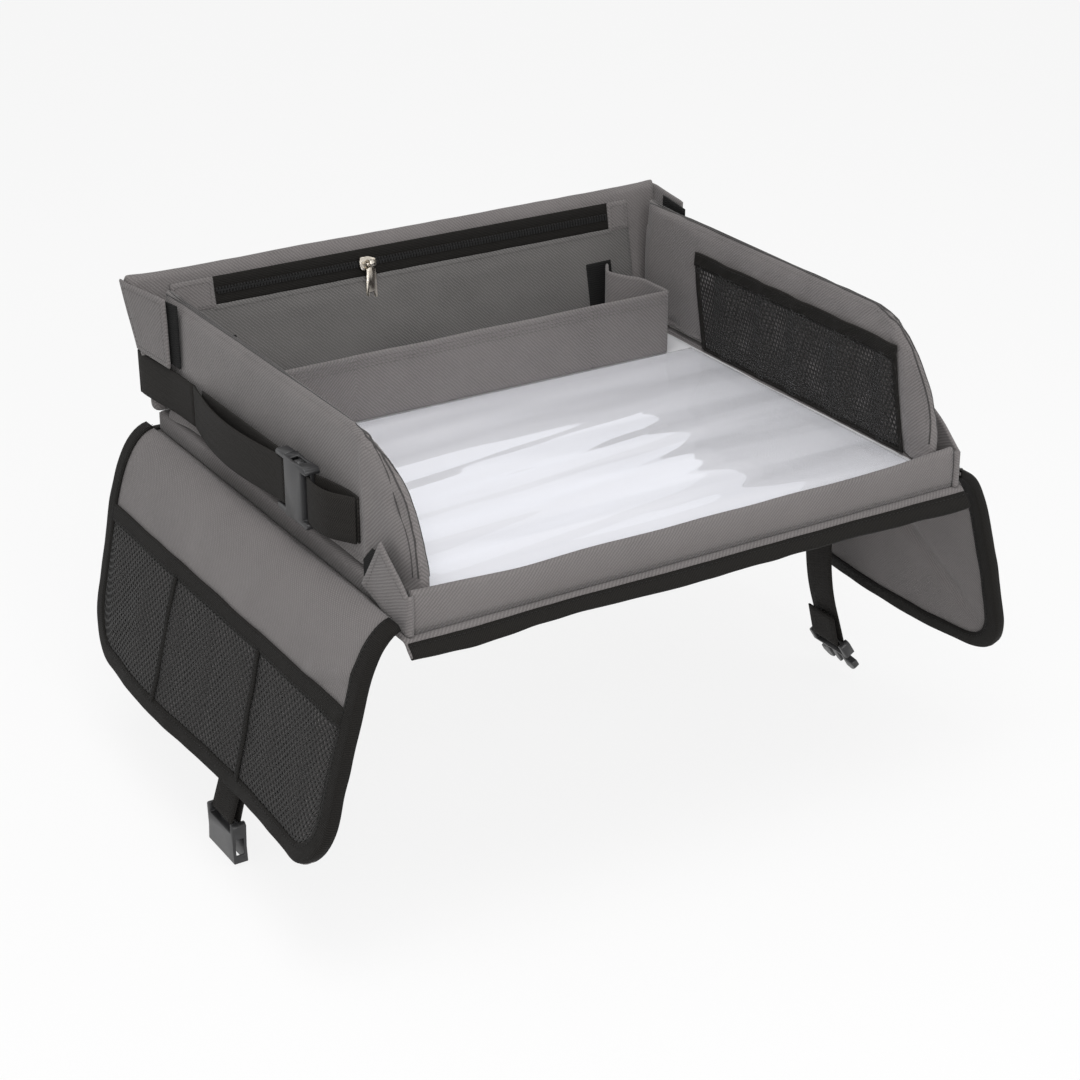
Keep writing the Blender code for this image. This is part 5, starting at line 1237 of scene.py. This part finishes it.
half = organiser["middle"]
panel = shell("organiser_panel", lambda x, z: (x, organiser["front"] + organiserWave(x, z), z),
              [-half] + spread(0.0001 - half, half - 0.0001, 90) + [half], organiserUp, organiser["ply"],
              grey)
place(panel, "base", "organiser_front")
face = organiser["front"] - organiser["ply"] / 2 - 0.0001
for z in (organiser["top"] - drop for drop in organiser["rows"]):
    stitchRow("base", [Vector((x, face + organiserWave(x, z), z)) for x in spread(-half, half, 90)], greyThread)


def organiserPlan():
    # one end in plan: straight on from the front, round the corner, then the pleat back to the wall
    front = organiser["front"]
    plan = [(x, front, 0) for x in (0.0949, 0.0951, 0.1100, 0.1250, 0.1400, 0.1568)]
    plan += [(0.15834, 0.0892, 0), (0.1590, 0.0903, 0)]
    shares = [(0.20, 0.02), (0.44, 0.10), (0.60, 0.62), (0.78, 1.0), (0.90, 0.72), (1.0, 0.35)]
    plan += [(organiser["end"] - organiser["pleat"] * b, front + organiser["depth"] * a, 0)
             for a, b in shares]
    return [p.xy for p in smoothPath(plan, 6)]


def makeOrganiserEnd(side, label):
    plan = organiserPlan()
    run = lengths(plan)

    def endSkin(i, z):
        x, y = plan[i]
        return (side * x, y + organiserWave(side * x, z) * (1 - min(run[i] / 0.055, 1)), z)

    end = shell("organiser_side_" + label, endSkin, range(len(plan)), organiserUp, organiser["ply"], grey)
    place(end, "base", "organiser_end_" + label)
    rows, off = [], organiser["ply"] / 2 + 0.0001
    for z in (organiser["top"] - drop for drop in organiser["rows"]):
        points = []
        for i in range(0, len(plan), 2):
            way = (plan[min(i + 1, len(plan) - 1)] - plan[max(i - 1, 0)]).normalized()
            x, y, _ = endSkin(i, z)
            points.append(Vector((x + side * way.y * off, y - way.x * off, z)))
        rows.append(stitches(points, greyThread))
    for piece in (end, place(joinPieces("organiser_stitches_" + label, rows), "base")):
        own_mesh(piece)
    near, far, low, high = organiser["patch"]
    off = tray["fit"] + pocket["thick"] + 0.0006
    patch = shell("organiser_hook_patch_" + label,
                  lambda x, h: onBack(side * x, h, off + pocketOut(side * x, h)),
                  spread(near, far, 10), spread(low, high, 16), 0.0010, hookTape)
    place(patch, "back_wall", "organiser_patch_" + label, slot="black_tape")


for side, label in sides:
    makeOrganiserEnd(side, label)
print("organiser done")


# ---- wings

wing = {
    "line": 0.2067, "level": 0.0090, "half": 0.1800, "drop": 0.1690, "corner": 0.0400, "thick": 0.0044,
    "rootThick": 0.0016, "start": 0.0010, "firstTilt": radians(80), "hangTilt": radians(13.5), "bend": 0.0160,
    "fold": 0.0030, "foldCount": 1.5, "netTop": 0.0600, "edgeHeight": 0.0110, "bindWidth": 0.0125,
    "wave": 0.0020, "crinkle": 0.0007, "step": 0.0005, "net": (0.0050, 0.0027, 0.63),
    "dividers": (-0.058, 0.062),
}
dividerStitch = stitchSize(0.0028, 0.0020, 0.0004)
mouthStitch = stitchSize(0.0030, 0.0022, 0.0004)
# soft creases: side, where each starts and ends as (y, s), depth and half width
creases = [
    (right, (-0.020, 0.030), (-0.168, 0.150), 0.0026, 0.0060),
    (right, (0.060, 0.020), (-0.010, 0.140), 0.0012, 0.0090),
    (left, (-0.172, 0.035), (-0.110, 0.058), 0.0022, 0.0050),
    (left, (-0.176, 0.060), (-0.130, 0.085), 0.0016, 0.0060),
    (left, (-0.060, 0.012), (-0.020, 0.050), 0.0012, 0.0070),
    (left, (0.090, 0.100), (0.160, 0.150), 0.0014, 0.0080),
]


def wingTilt(s):
    return wing["hangTilt"] + (wing["firstTilt"] - wing["hangTilt"]) * exp(-s / wing["bend"])


def thinner(s):
    # how much the wing is thinner near its sewn line
    return (wing["thick"] - wing["rootThick"]) * exp(-s / wing["bend"])


def wingTable():
    out, down, rows = 0.0, 0.0, []
    for i in range(401):
        rows.append((out, down))
        tilt = wingTilt((i + 0.5) * wing["step"])
        out += sin(tilt) * wing["step"]
        down += cos(tilt) * wing["step"]
    return np.array(rows)


wingRows = wingTable()


def wingProfile(s):
    at = np.arange(len(wingRows)) * wing["step"]
    return float(np.interp(s, at, wingRows[:, 0])), float(np.interp(s, at, wingRows[:, 1]))


def creaseDepth(side, y, s):
    total = 0.0
    for which, start, end, depth, width in creases:
        if which == side:
            a, b, p = Vector(start), Vector(end), Vector((y, s))
            t = (p - a).dot(b - a) / (b - a).length_squared
            off = (p - a - (b - a) * t)
            far = off.length * (1 if off.cross(b - a) > 0 else -1)
            fade = within(t / 0.25) * within((1 - t) / 0.25)
            total += depth * fade * exp(-(far / width) ** 2) * (1 - far / width * 0.5)
    return total


def wingWave(side, y, s):
    wave = wing["wave"] * ripple((side * 0.4, y, s), 0.070, 4 + side)
    wave += wing["crinkle"] * ripple((side * 0.4, y, s), 0.022, 9 + side)
    strap = exp(-((y + (0.010 if side > 0 else 0)) / 0.024) ** 2)  # flat behind the hanging strap
    edge = max(s - wing["netTop"], 0) / (wing["drop"] - wing["netTop"])
    fold = wing["fold"] * edge * sin(wing["foldCount"] * pi * y / wing["half"])
    return fold + (within((s - 0.010) / 0.080) * wave + creaseDepth(side, y, s)) * (1 - 0.85 * strap)


def wingPoint(side, y, s, off):
    out, down = wingProfile(max(s, 0))
    tilt, thin = wingTilt(s), thinner(s) / 2
    off += wingWave(side, y, s) - (thin if off > 0 else -thin if off < 0 else 0)
    out += off * cos(tilt)
    down -= off * sin(tilt)
    return Vector((side * (wing["line"] + out), y, wing["level"] - down))


def wingEnd(y, inset):
    half, drop, corner = wing["half"] - inset, wing["drop"] - inset, wing["corner"] - inset
    into = corner - (half - min(abs(y), half))
    if into <= 0:
        return drop
    return drop - corner + sqrt(max(corner * corner - into * into, 0))


def makeWingPanel(side, label):
    inset = droop["tape"] + 0.0005
    half, corner = wing["half"] - inset, wing["corner"] - inset

    def reach(y, v):
        return wing["start"] + (wingEnd(y, inset) - wing["start"]) * v

    turn = [-half + corner * (1 - cos(pi / 2 * i / 14)) for i in range(14)]
    us = turn + spread(-half + corner, half - corner, 100) + [-y for y in reversed(turn)]
    panel = shell(label + "_wing_padding", lambda y, v: wingPoint(side, y, reach(y, v), 0), us,
                  spread(0, 1, 64), lambda y, v: wing["thick"] - thinner(reach(y, v)), grey)
    place(panel, label + "_wing", label + "_wing_panel")


def bindingPath():
    # ((y, s), inward way) down the front edge, round both corners and up the back edge
    half, drop, corner = wing["half"], wing["drop"], wing["corner"]
    edge = [((half, s), (-1, 0)) for s in spread(wing["start"], drop - corner, 44)[:-1]]
    for turn in (pi / 2 * i / 18 for i in range(19)):
        edge.append(((half - corner + corner * cos(turn), drop - corner + corner * sin(turn)),
                     (-cos(turn), -sin(turn))))
    path = [((-y, s), (-ny, ns)) for (y, s), (ny, ns) in edge]
    path += [((y, drop), (0, -1)) for y in spread(-half + corner, half - corner, 90)[1:-1]]
    return path + edge[::-1]


def makeWingBinding(side, label):
    inner = wing["thick"] / 2 + 0.0005
    outer = inner + droop["tape"]
    rings, rows = [], {1: [], -1: []}
    path = bindingPath()
    for run, ((y, s), (ny, ns)) in zip(lengths([Vector(spot) for spot, _ in path]), path):
        width = wing["bindWidth"] + 0.0007 * ripple((run, side, 0), 0.030, 3)
        edge = 0.0008 * ripple((run, side, 0), 0.040, 8)
        ring = []
        for a, off in bindSection(width, inner, outer, droop["tape"]):
            a += edge if a < width * 0.5 else 0
            off += 0.0003 * ripple((run, a, off), 0.014, 5)
            ring.append(wingPoint(side, y + a * ny, s + a * ns, off))
        rings.append(ring)
        a = width - 0.0022
        for face in (1, -1):
            rows[face].append(wingPoint(side, y + a * ny, s + a * ns, face * (outer + 0.00035)))
    bias = loft(label + "_wing_bias_tape", rings, tape)
    place(bias, label + "_wing", label + "_wing_binding", slot="black_tape")
    for face in (1, -1):
        stitchRow(label + "_wing", rows[face], blackThread, tapeStitch)


def makeWingPocket(side, label):
    body = label + "_wing"
    stand = wing["thick"] / 2 + tray["fit"] + 0.0004
    inset = wing["bindWidth"] - 0.0010
    half, top = wing["half"] - inset, wing["netTop"] + wing["edgeHeight"] - 0.0010

    def hang(y, v):
        return top + (wingEnd(y, inset) - top) * v

    def at(u, v):
        y = -half + 2 * half * u
        slack = 0.0010 * sin(pi * v) * (0.5 + 0.5 * sin(y * 2 * pi / 0.047 + ripple((y, 0, 0), 0.05, 3)))
        return wingPoint(side, y, hang(y, v), stand + slack)

    def band(y, v):
        rise = 0.0006 * ripple((y, side, 0), 0.028, 6)
        return wingPoint(side, y, wing["netTop"] + wing["edgeHeight"] * v + rise, stand + 0.0004)

    height = wing["drop"] - inset - top
    pocket = netPiece(label + "_wing_pocket_net", at, 2 * half, height, *wing["net"])
    place(pocket, body, label + "_wing_net", slot="black_mesh")
    mouth = shell(label + "_wing_pocket_mouth", band, spread(-half - 0.001, half + 0.001, 110),
                  spread(0, 1, 6), 0.0014, tape)
    place(mouth, body, label + "_wing_pocket_edge", slot="black_tape")
    dividers = []
    for y in wing["dividers"]:
        def divider(a, v):
            return wingPoint(side, y + a, hang(y, v) + 0.001, stand + 0.0012)
        dividers.append(shell("divider", divider, spread(-0.0022, 0.0022, 2), spread(0, 1, 40), 0.0008, tape))
        for a in (-0.0012, 0.0012):
            stitchRow(body, [wingPoint(side, y + a, hang(y, v), stand + 0.0017) for v in spread(0, 1, 40)],
                      blackThread, dividerStitch)
    place(joinPieces(label + "_wing_dividers", dividers), body, slot="black_tape")
    for v in (0.14, 0.86):
        stitchRow(body, [band(y, v) + Vector((side * 0.0009, 0, 0.0002)) for y in spread(-half, half, 110)],
                  blackThread, mouthStitch)


for side, label in sides:
    makeWingPanel(side, label)
    makeWingBinding(side, label)
    makeWingPocket(side, label)
print("wings done")


# ---- webbing

web = {
    "width": 0.0300, "thick": 0.0015, "level": 0.0448, "rise": 0.0057, "bulge": 0.0075, "sag": 0.0050,
    "split": 0.1080, "rightEnd": 0.0560, "tailEnd": 0.0900, "tailSag": 0.6, "buckleAt": -0.0360,
    "stand": 0.0100, "anchorEnd": -0.1180, "bar": 0.0020, "barHalf": 0.0013, "frame": 0.0125, "body": 0.0220,
    "tail": 0.0070, "boxStitch": (0.060, 0.078),
}
web["face"] = tray["hookFace"] + web["thick"] / 2 + tray["fit"]
web["wrap"] = sqrt(web["bar"] ** 2 / 4 + web["barHalf"] ** 2) + tray["fit"] + web["thick"] / 2
web["middle"] = tray["halfWidth"] + web["stand"]
anchorStitch = stitchSize(0.0031, 0.0022, 0.0006)


def webbingBand(name, path, body, node, waver=0.0):
    # flat webbing along (centre, face normal, across), with softly rounded edges
    shares = [(-1, -0.3), (-0.96, -1), (-0.5, -1), (0, -1), (0.5, -1), (0.96, -1), (1, -0.3), (1, 0.3),
              (0.96, 1), (0.5, 1), (0, 1), (-0.5, 1), (-0.96, 1), (-1, 0.3)]
    width, thick, points, uvs = web["width"], web["thick"], [], []
    run = lengths([centre for centre, _, _ in path])
    for k, (centre, normal, across) in enumerate(path):
        sway = waver * noise.noise(Vector((run[k] * 25, 3.1, 0)))
        for a, b in shares:
            points.append(centre + across * (a * width / 2 + sway) + normal * (b * thick / 2))
            uvs.append((a * width / 2, run[k]))
    band = facesOut(newPiece(name, points, ringFaces(len(shares), len(path)), webbing, uvs))
    place(band, body, node, slot="black_tape")


def planPath(points, levels, flutter=0.0):
    # webbing on edge along points in plan, with its middle height at each
    spots = [Vector((x, y, z)) for (x, y), z in zip(points, levels)]
    path = []
    for i, spot in enumerate(spots):
        run = spots[min(i + 1, len(spots) - 1)] - spots[max(i - 1, 0)]
        flat = Vector((run.x, run.y, 0)).normalized()
        normal = Vector((flat.y, -flat.x, 0))
        lean = Vector((0, 0, 1)) + normal * flutter * ripple(spot, 0.040, 3)
        path.append((spot, normal, lean.normalized()))
    return path


def dense(points, per):
    return [(p.x, p.y) for p in smoothPath([(x, y, 0) for x, y in points], per)]


def arcPoints(centre, radius, start, end, steps):
    return [(centre[0] + radius * cos(start + (end - start) * i / steps),
             centre[1] + radius * sin(start + (end - start) * i / steps)) for i in range(steps + 1)]


def backStrap():
    turn, top = web["thick"] * 2, web["level"] + web["width"] / 2
    lie = backEdge(top) + web["thick"] / 2 + tray["fit"] + 0.0010
    run = max(web["face"], backHalfWidth(top) + tray["fit"] + web["thick"] / 2 + 0.0005)
    half = [(-web["face"], web["split"] + 0.0002), (-web["face"] - 0.001, 0.140), (-run, tray["back"] - turn)]
    half += arcPoints((-run + turn, lie - turn), turn, pi, pi / 2, 8)
    half += [(-run * (1 - share), lie + web["sag"] * sin(pi * share / 2))
             for share in (0.2, 0.4, 0.6, 0.8, 1.0)]
    points = dense(half + [(-x, y) for x, y in reversed(half[:-1])], 4)
    return planPath(points, [web["level"]] * len(points), 0.06)


def leftStrap():
    # from the back strap round the male buckle's bar, then its loose tail
    slot = (web["frame"] - 3 * web["bar"]) / 2
    barAt, mouth = web["buckleAt"] - (web["bar"] * 1.5 + slot), web["buckleAt"] + web["thick"]
    start, outer, tail = web["split"] - 0.0002, [], []
    for share in spread(0, 1, 30):
        lift = (web["middle"] + web["wrap"] - web["face"]) * share + web["bulge"] * sin(pi * share)
        outer.append((-(web["face"] + lift), start + (mouth - start) * share))
    bend = arcPoints((-web["middle"], barAt), -web["wrap"], 0, pi, 10)
    near, lie = web["middle"] - web["wrap"], web["face"] + web["thick"] + tray["fit"]
    for share in spread(0, 1, 20):
        tail.append((-(near + (lie - near) * share), mouth + (web["tailEnd"] - mouth) * share))
    level = web["level"] + web["rise"]
    levels = [web["level"] + web["rise"] * share for share in spread(0, 1, 30)] + [level] * len(bend)
    levels += [level - web["rise"] * web["tailSag"] * share for share in spread(0, 1, 20)]
    return planPath(outer + bend + tail, levels)


def anchorStrap():
    # doubled round the female buckle's bar and sewn to the wall in front of it
    end = web["frame"] + tray["fit"] + web["body"] + web["tail"]
    barAt, mid, layer = web["buckleAt"] - (end - web["bar"] / 2), web["middle"], web["wrap"]
    hug = tray["halfWidth"] + tray["fit"] + web["thick"] / 2
    fold, sewn, width = hug + web["thick"] + tray["fit"], web["anchorEnd"], web["width"]
    inner = [(-hug, sewn), (-hug, sewn + width * 0.4),
             (-(hug + (mid - layer - hug) * 0.6), barAt - width * 0.25), (-(mid - layer), barAt)]
    bend = arcPoints((-mid, barAt), layer, 0, pi, 10)[1:]
    outer = [bend[-1], (-(mid + layer + web["thick"]), barAt - width * 0.35),
             (-(mid + layer), barAt - width * 0.8), (-(fold + web["thick"] * 2), sewn + web["thick"] * 3),
             (-fold, sewn)]
    points = dense(inner, 6)[:-1] + [(-(mid - layer), barAt)] + bend + dense(outer, 6)[1:]
    return planPath(points, [web["level"] + web["rise"]] * len(points))


def boxStitch(body, corners, thread):
    # a sewn box with a cross
    route = [0, 1, 2, 3, 0, 2, 3, 1]
    for a, b in zip(route, route[1:]):
        stitchRow(body, [corners[a].lerp(corners[b], i / 6) for i in range(7)], thread, webStitch)


webbingBand("strap_round_back", backStrap(), "back_wall", "upper_strap_back")
points = [(web["face"], y) for y in spread(web["split"] - 0.0002, web["rightEnd"], 12)]
webbingBand("strap_right_end", planPath(points, [web["level"]] * 13), "right_wall", "upper_strap_right")
webbingBand("strap_adjusting", leftStrap(), "left_wall", "upper_strap_left")
webbingBand("strap_anchor", anchorStrap(), "left_wall", "anchor_strap")

level, halfWeb = web["level"] + web["rise"], web["width"] / 2 - 0.0035
x = -(tray["halfWidth"] + tray["fit"] * 2 + web["thick"] * 2) - 0.0012
for y in (web["anchorEnd"] + 0.0030, web["anchorEnd"] + 0.0060):
    stitchRow("left_wall", [Vector((x, y, z)) for z in spread(level - halfWeb, level + halfWeb, 8)],
              paleThread, anchorStitch)
x, low, high = web["face"] + web["thick"] / 2 + 0.0002, web["level"] - halfWeb, web["level"] + halfWeb
front, rear = web["boxStitch"]
boxStitch("right_wall", [Vector((x, front, low)), Vector((x, rear, low)), Vector((x, rear, high)),
                         Vector((x, front, high))], blackThread)

lower = {"top": 0.0360, "tilt": radians(17), "return": 0.0240, "waver": 0.0006, "steps": 48,
         "stitches": (38, 40),
         left: {"y": 0.0000, "drop": 0.1780}, right: {"y": -0.0100, "drop": 0.1760}}


def plainWing(s, off):
    # (x, z) on the right wing without its folds, which the lower straps hang clear of
    out, down = wingProfile(s)
    tilt = wingTilt(s)
    off += thinner(s) / 2
    return wing["line"] + out + off * cos(tilt), wing["level"] - down + off * sin(tilt)


def lowerPath(side):
    # down beside the wing, round the buckle's bar and back up behind itself
    x, z = plainWing(lower["top"], -(wing["thick"] / 2 + tray["fit"] + web["thick"] / 2))
    y, drop = lower[side]["y"], lower[side]["drop"]
    tilt, steps, points = wingTilt(lower["top"]), lower["steps"], []
    for share in spread(0, 1, steps):
        points.append(Vector((side * x, y, z)))
        lean = tilt * max(0.8 - share * 6, 0) + lower["tilt"] * within(share * 3 - 1.5)
        x += sin(lean) * drop / steps
        z -= cos(lean) * drop / steps
    across, path = Vector((0, 1, 0)), []
    for i, point in enumerate(points):
        way = (points[min(i + 1, steps)] - points[max(i - 1, 0)]).normalized()
        path.append((point, Vector((-way.z * side, 0, way.x * side)), across))
    run = (points[-1] - points[-2]).normalized()
    out = Vector((-run.z * side, 0, run.x * side)).normalized()
    centre = points[-1] - out * web["wrap"]
    for i in range(1, 11):
        offset = out * cos(pi * i / 10) + run * sin(pi * i / 10)
        path.append((centre + offset * web["wrap"], offset, across))
    for i in range(1, 7):
        path.append((centre - out * (web["wrap"] - 0.0002 * i) - run * lower["return"] * i / 6, -out, across))
    return path


for side, label in sides:
    path = lowerPath(side)
    webbingBand("strap_lower_" + label, path, label + "_lower_strap", "lower_strap_" + label, lower["waver"])
    for centre, normal, across in (path[at] for at in lower["stitches"]):
        middle = centre + normal * (web["thick"] / 2 + 0.0001)
        stitchRow(label + "_lower_strap", [middle + across * a for a in spread(-0.012, 0.012, 8)],
                  blackThread, webStitch)
print("webbing done")


# ---- buckles

for node, body in (("upper_buckle_male", "left_wall"), ("upper_buckle_female", "left_wall"),
                   ("upper_prong_top", "upper_prong_1"), ("upper_prong_bottom", "upper_prong_2"),
                   ("lower_buckle_female", "female_buckle"), ("lower_buckle_male", "male_buckle"),
                   ("lower_prong_back", "lower_prong_1"), ("lower_prong_front", "lower_prong_2")):
    place(rounded(node, 0.0006 if "buckle" in node else 0.0008, plastic), body, node, slot="black_plastic")
print("buckles done")


# ---- stitches, one piece for each body, and the boards inside the padding

for body, rows in seams.items():
    place(joinPieces("stitches_" + body, rows), body)
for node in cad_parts:
    held = bpy.data.objects.get(node)
    if held and node.endswith("_board"):
        held.data.materials.clear()
        held.data.materials.append(board)


# ---- floor, lamps and camera

studio = {"floor": -0.2245, "half": 3.0, "worldLight": 0.48, "ownWhite": 0.84}


def seenShare(paint):
    # 1 where the camera, a reflection or a clear piece looks at the surface, 0 where it only gives light
    rays = paint.node("ShaderNodeLightPath").socket.node.outputs
    seen = [Wire(paint, rays[name]) for name in ("Is Camera Ray", "Is Glossy Ray", "Is Transmission Ray")]
    return (seen[0] + seen[1] + seen[2]).limit()


def floorLook():
    # pale paper that the camera sees almost white, with the tray's soft shadow on it
    paint = newPaint("studioFloor")
    shade = paint.blend(paint.noise(3.0, 2), (0.86, 0.86, 0.86, 1), (0.90, 0.90, 0.90, 1))
    white = paint.node("ShaderNodeEmission", {0: (1, 1, 1, 1), 1: 1.0})
    return paint.finish(paint.mix(seenShare(paint) * studio["ownWhite"], paint.surface(shade, 0.9), white))


def makeWorld():
    # white to look at, dimmer as a light
    world = bpy.context.scene.world = bpy.data.worlds.new("studio")
    paint = Paint(world, "ShaderNodeOutputWorld")
    soft = paint.node("ShaderNodeBackground", {0: (1, 1, 1, 1), 1: studio["worldLight"]})
    white = paint.node("ShaderNodeBackground", {0: (1, 1, 1, 1), 1: 1.0})
    paint.finish(paint.mix(seenShare(paint), soft, white))


def aimed(name, data, spot, way):
    made = addObject(name, data)
    made.location = spot
    made.rotation_euler = Vector(way).to_track_quat("-Z", "Y").to_euler()
    return made


def lamp(name, spot, aim, size, power, shape="RECTANGLE"):
    light = bpy.data.lights.new(name, "AREA")
    light.shape = shape
    light.size, light.size_y = size
    light.energy = power
    aimed(name, light, spot, Vector(aim) - Vector(spot))


far, low = studio["half"], studio["floor"]
corners = [(-far, -far, low), (far, -far, low), (far, far, low), (-far, far, low)]
ground = newPiece("studio_floor", corners, [(0, 1, 2, 3)], floorLook())
makeWorld()
lamp("top", (-0.5, -0.5, 1.7), (-0.05, -0.06, 0.03), (1.0, 1.0), 15)
lamp("key", (-0.8, -1.95, 1.0), (0, 0, 0.03), (1.2, 1.2), 24)
lamp("fill", (1.6, -1.1, 0.6), (0, 0, 0), (1.0, 1.0), 3)
lamp("film_glow", (0.66, 1.26, 0.66), (-0.10, -0.08, 0.02), (0.62, 0.36), 0.24, "ELLIPSE")

view = {"place": (-0.7773, -1.2521, 0.6318), "azimuth": radians(-31.725), "elevation": radians(25.094),
        "lens": 80, "sensor": 36}
camera = bpy.data.cameras.new("camera")
camera.lens = view["lens"]
camera.sensor_width = view["sensor"]
turn, rise = view["azimuth"], view["elevation"]
bpy.context.scene.camera = aimed("camera", camera, view["place"],
                                 (-sin(turn) * cos(rise), cos(turn) * cos(rise), -sin(rise)))
bpy.context.scene.view_settings.view_transform = "Standard"

print("studio done")
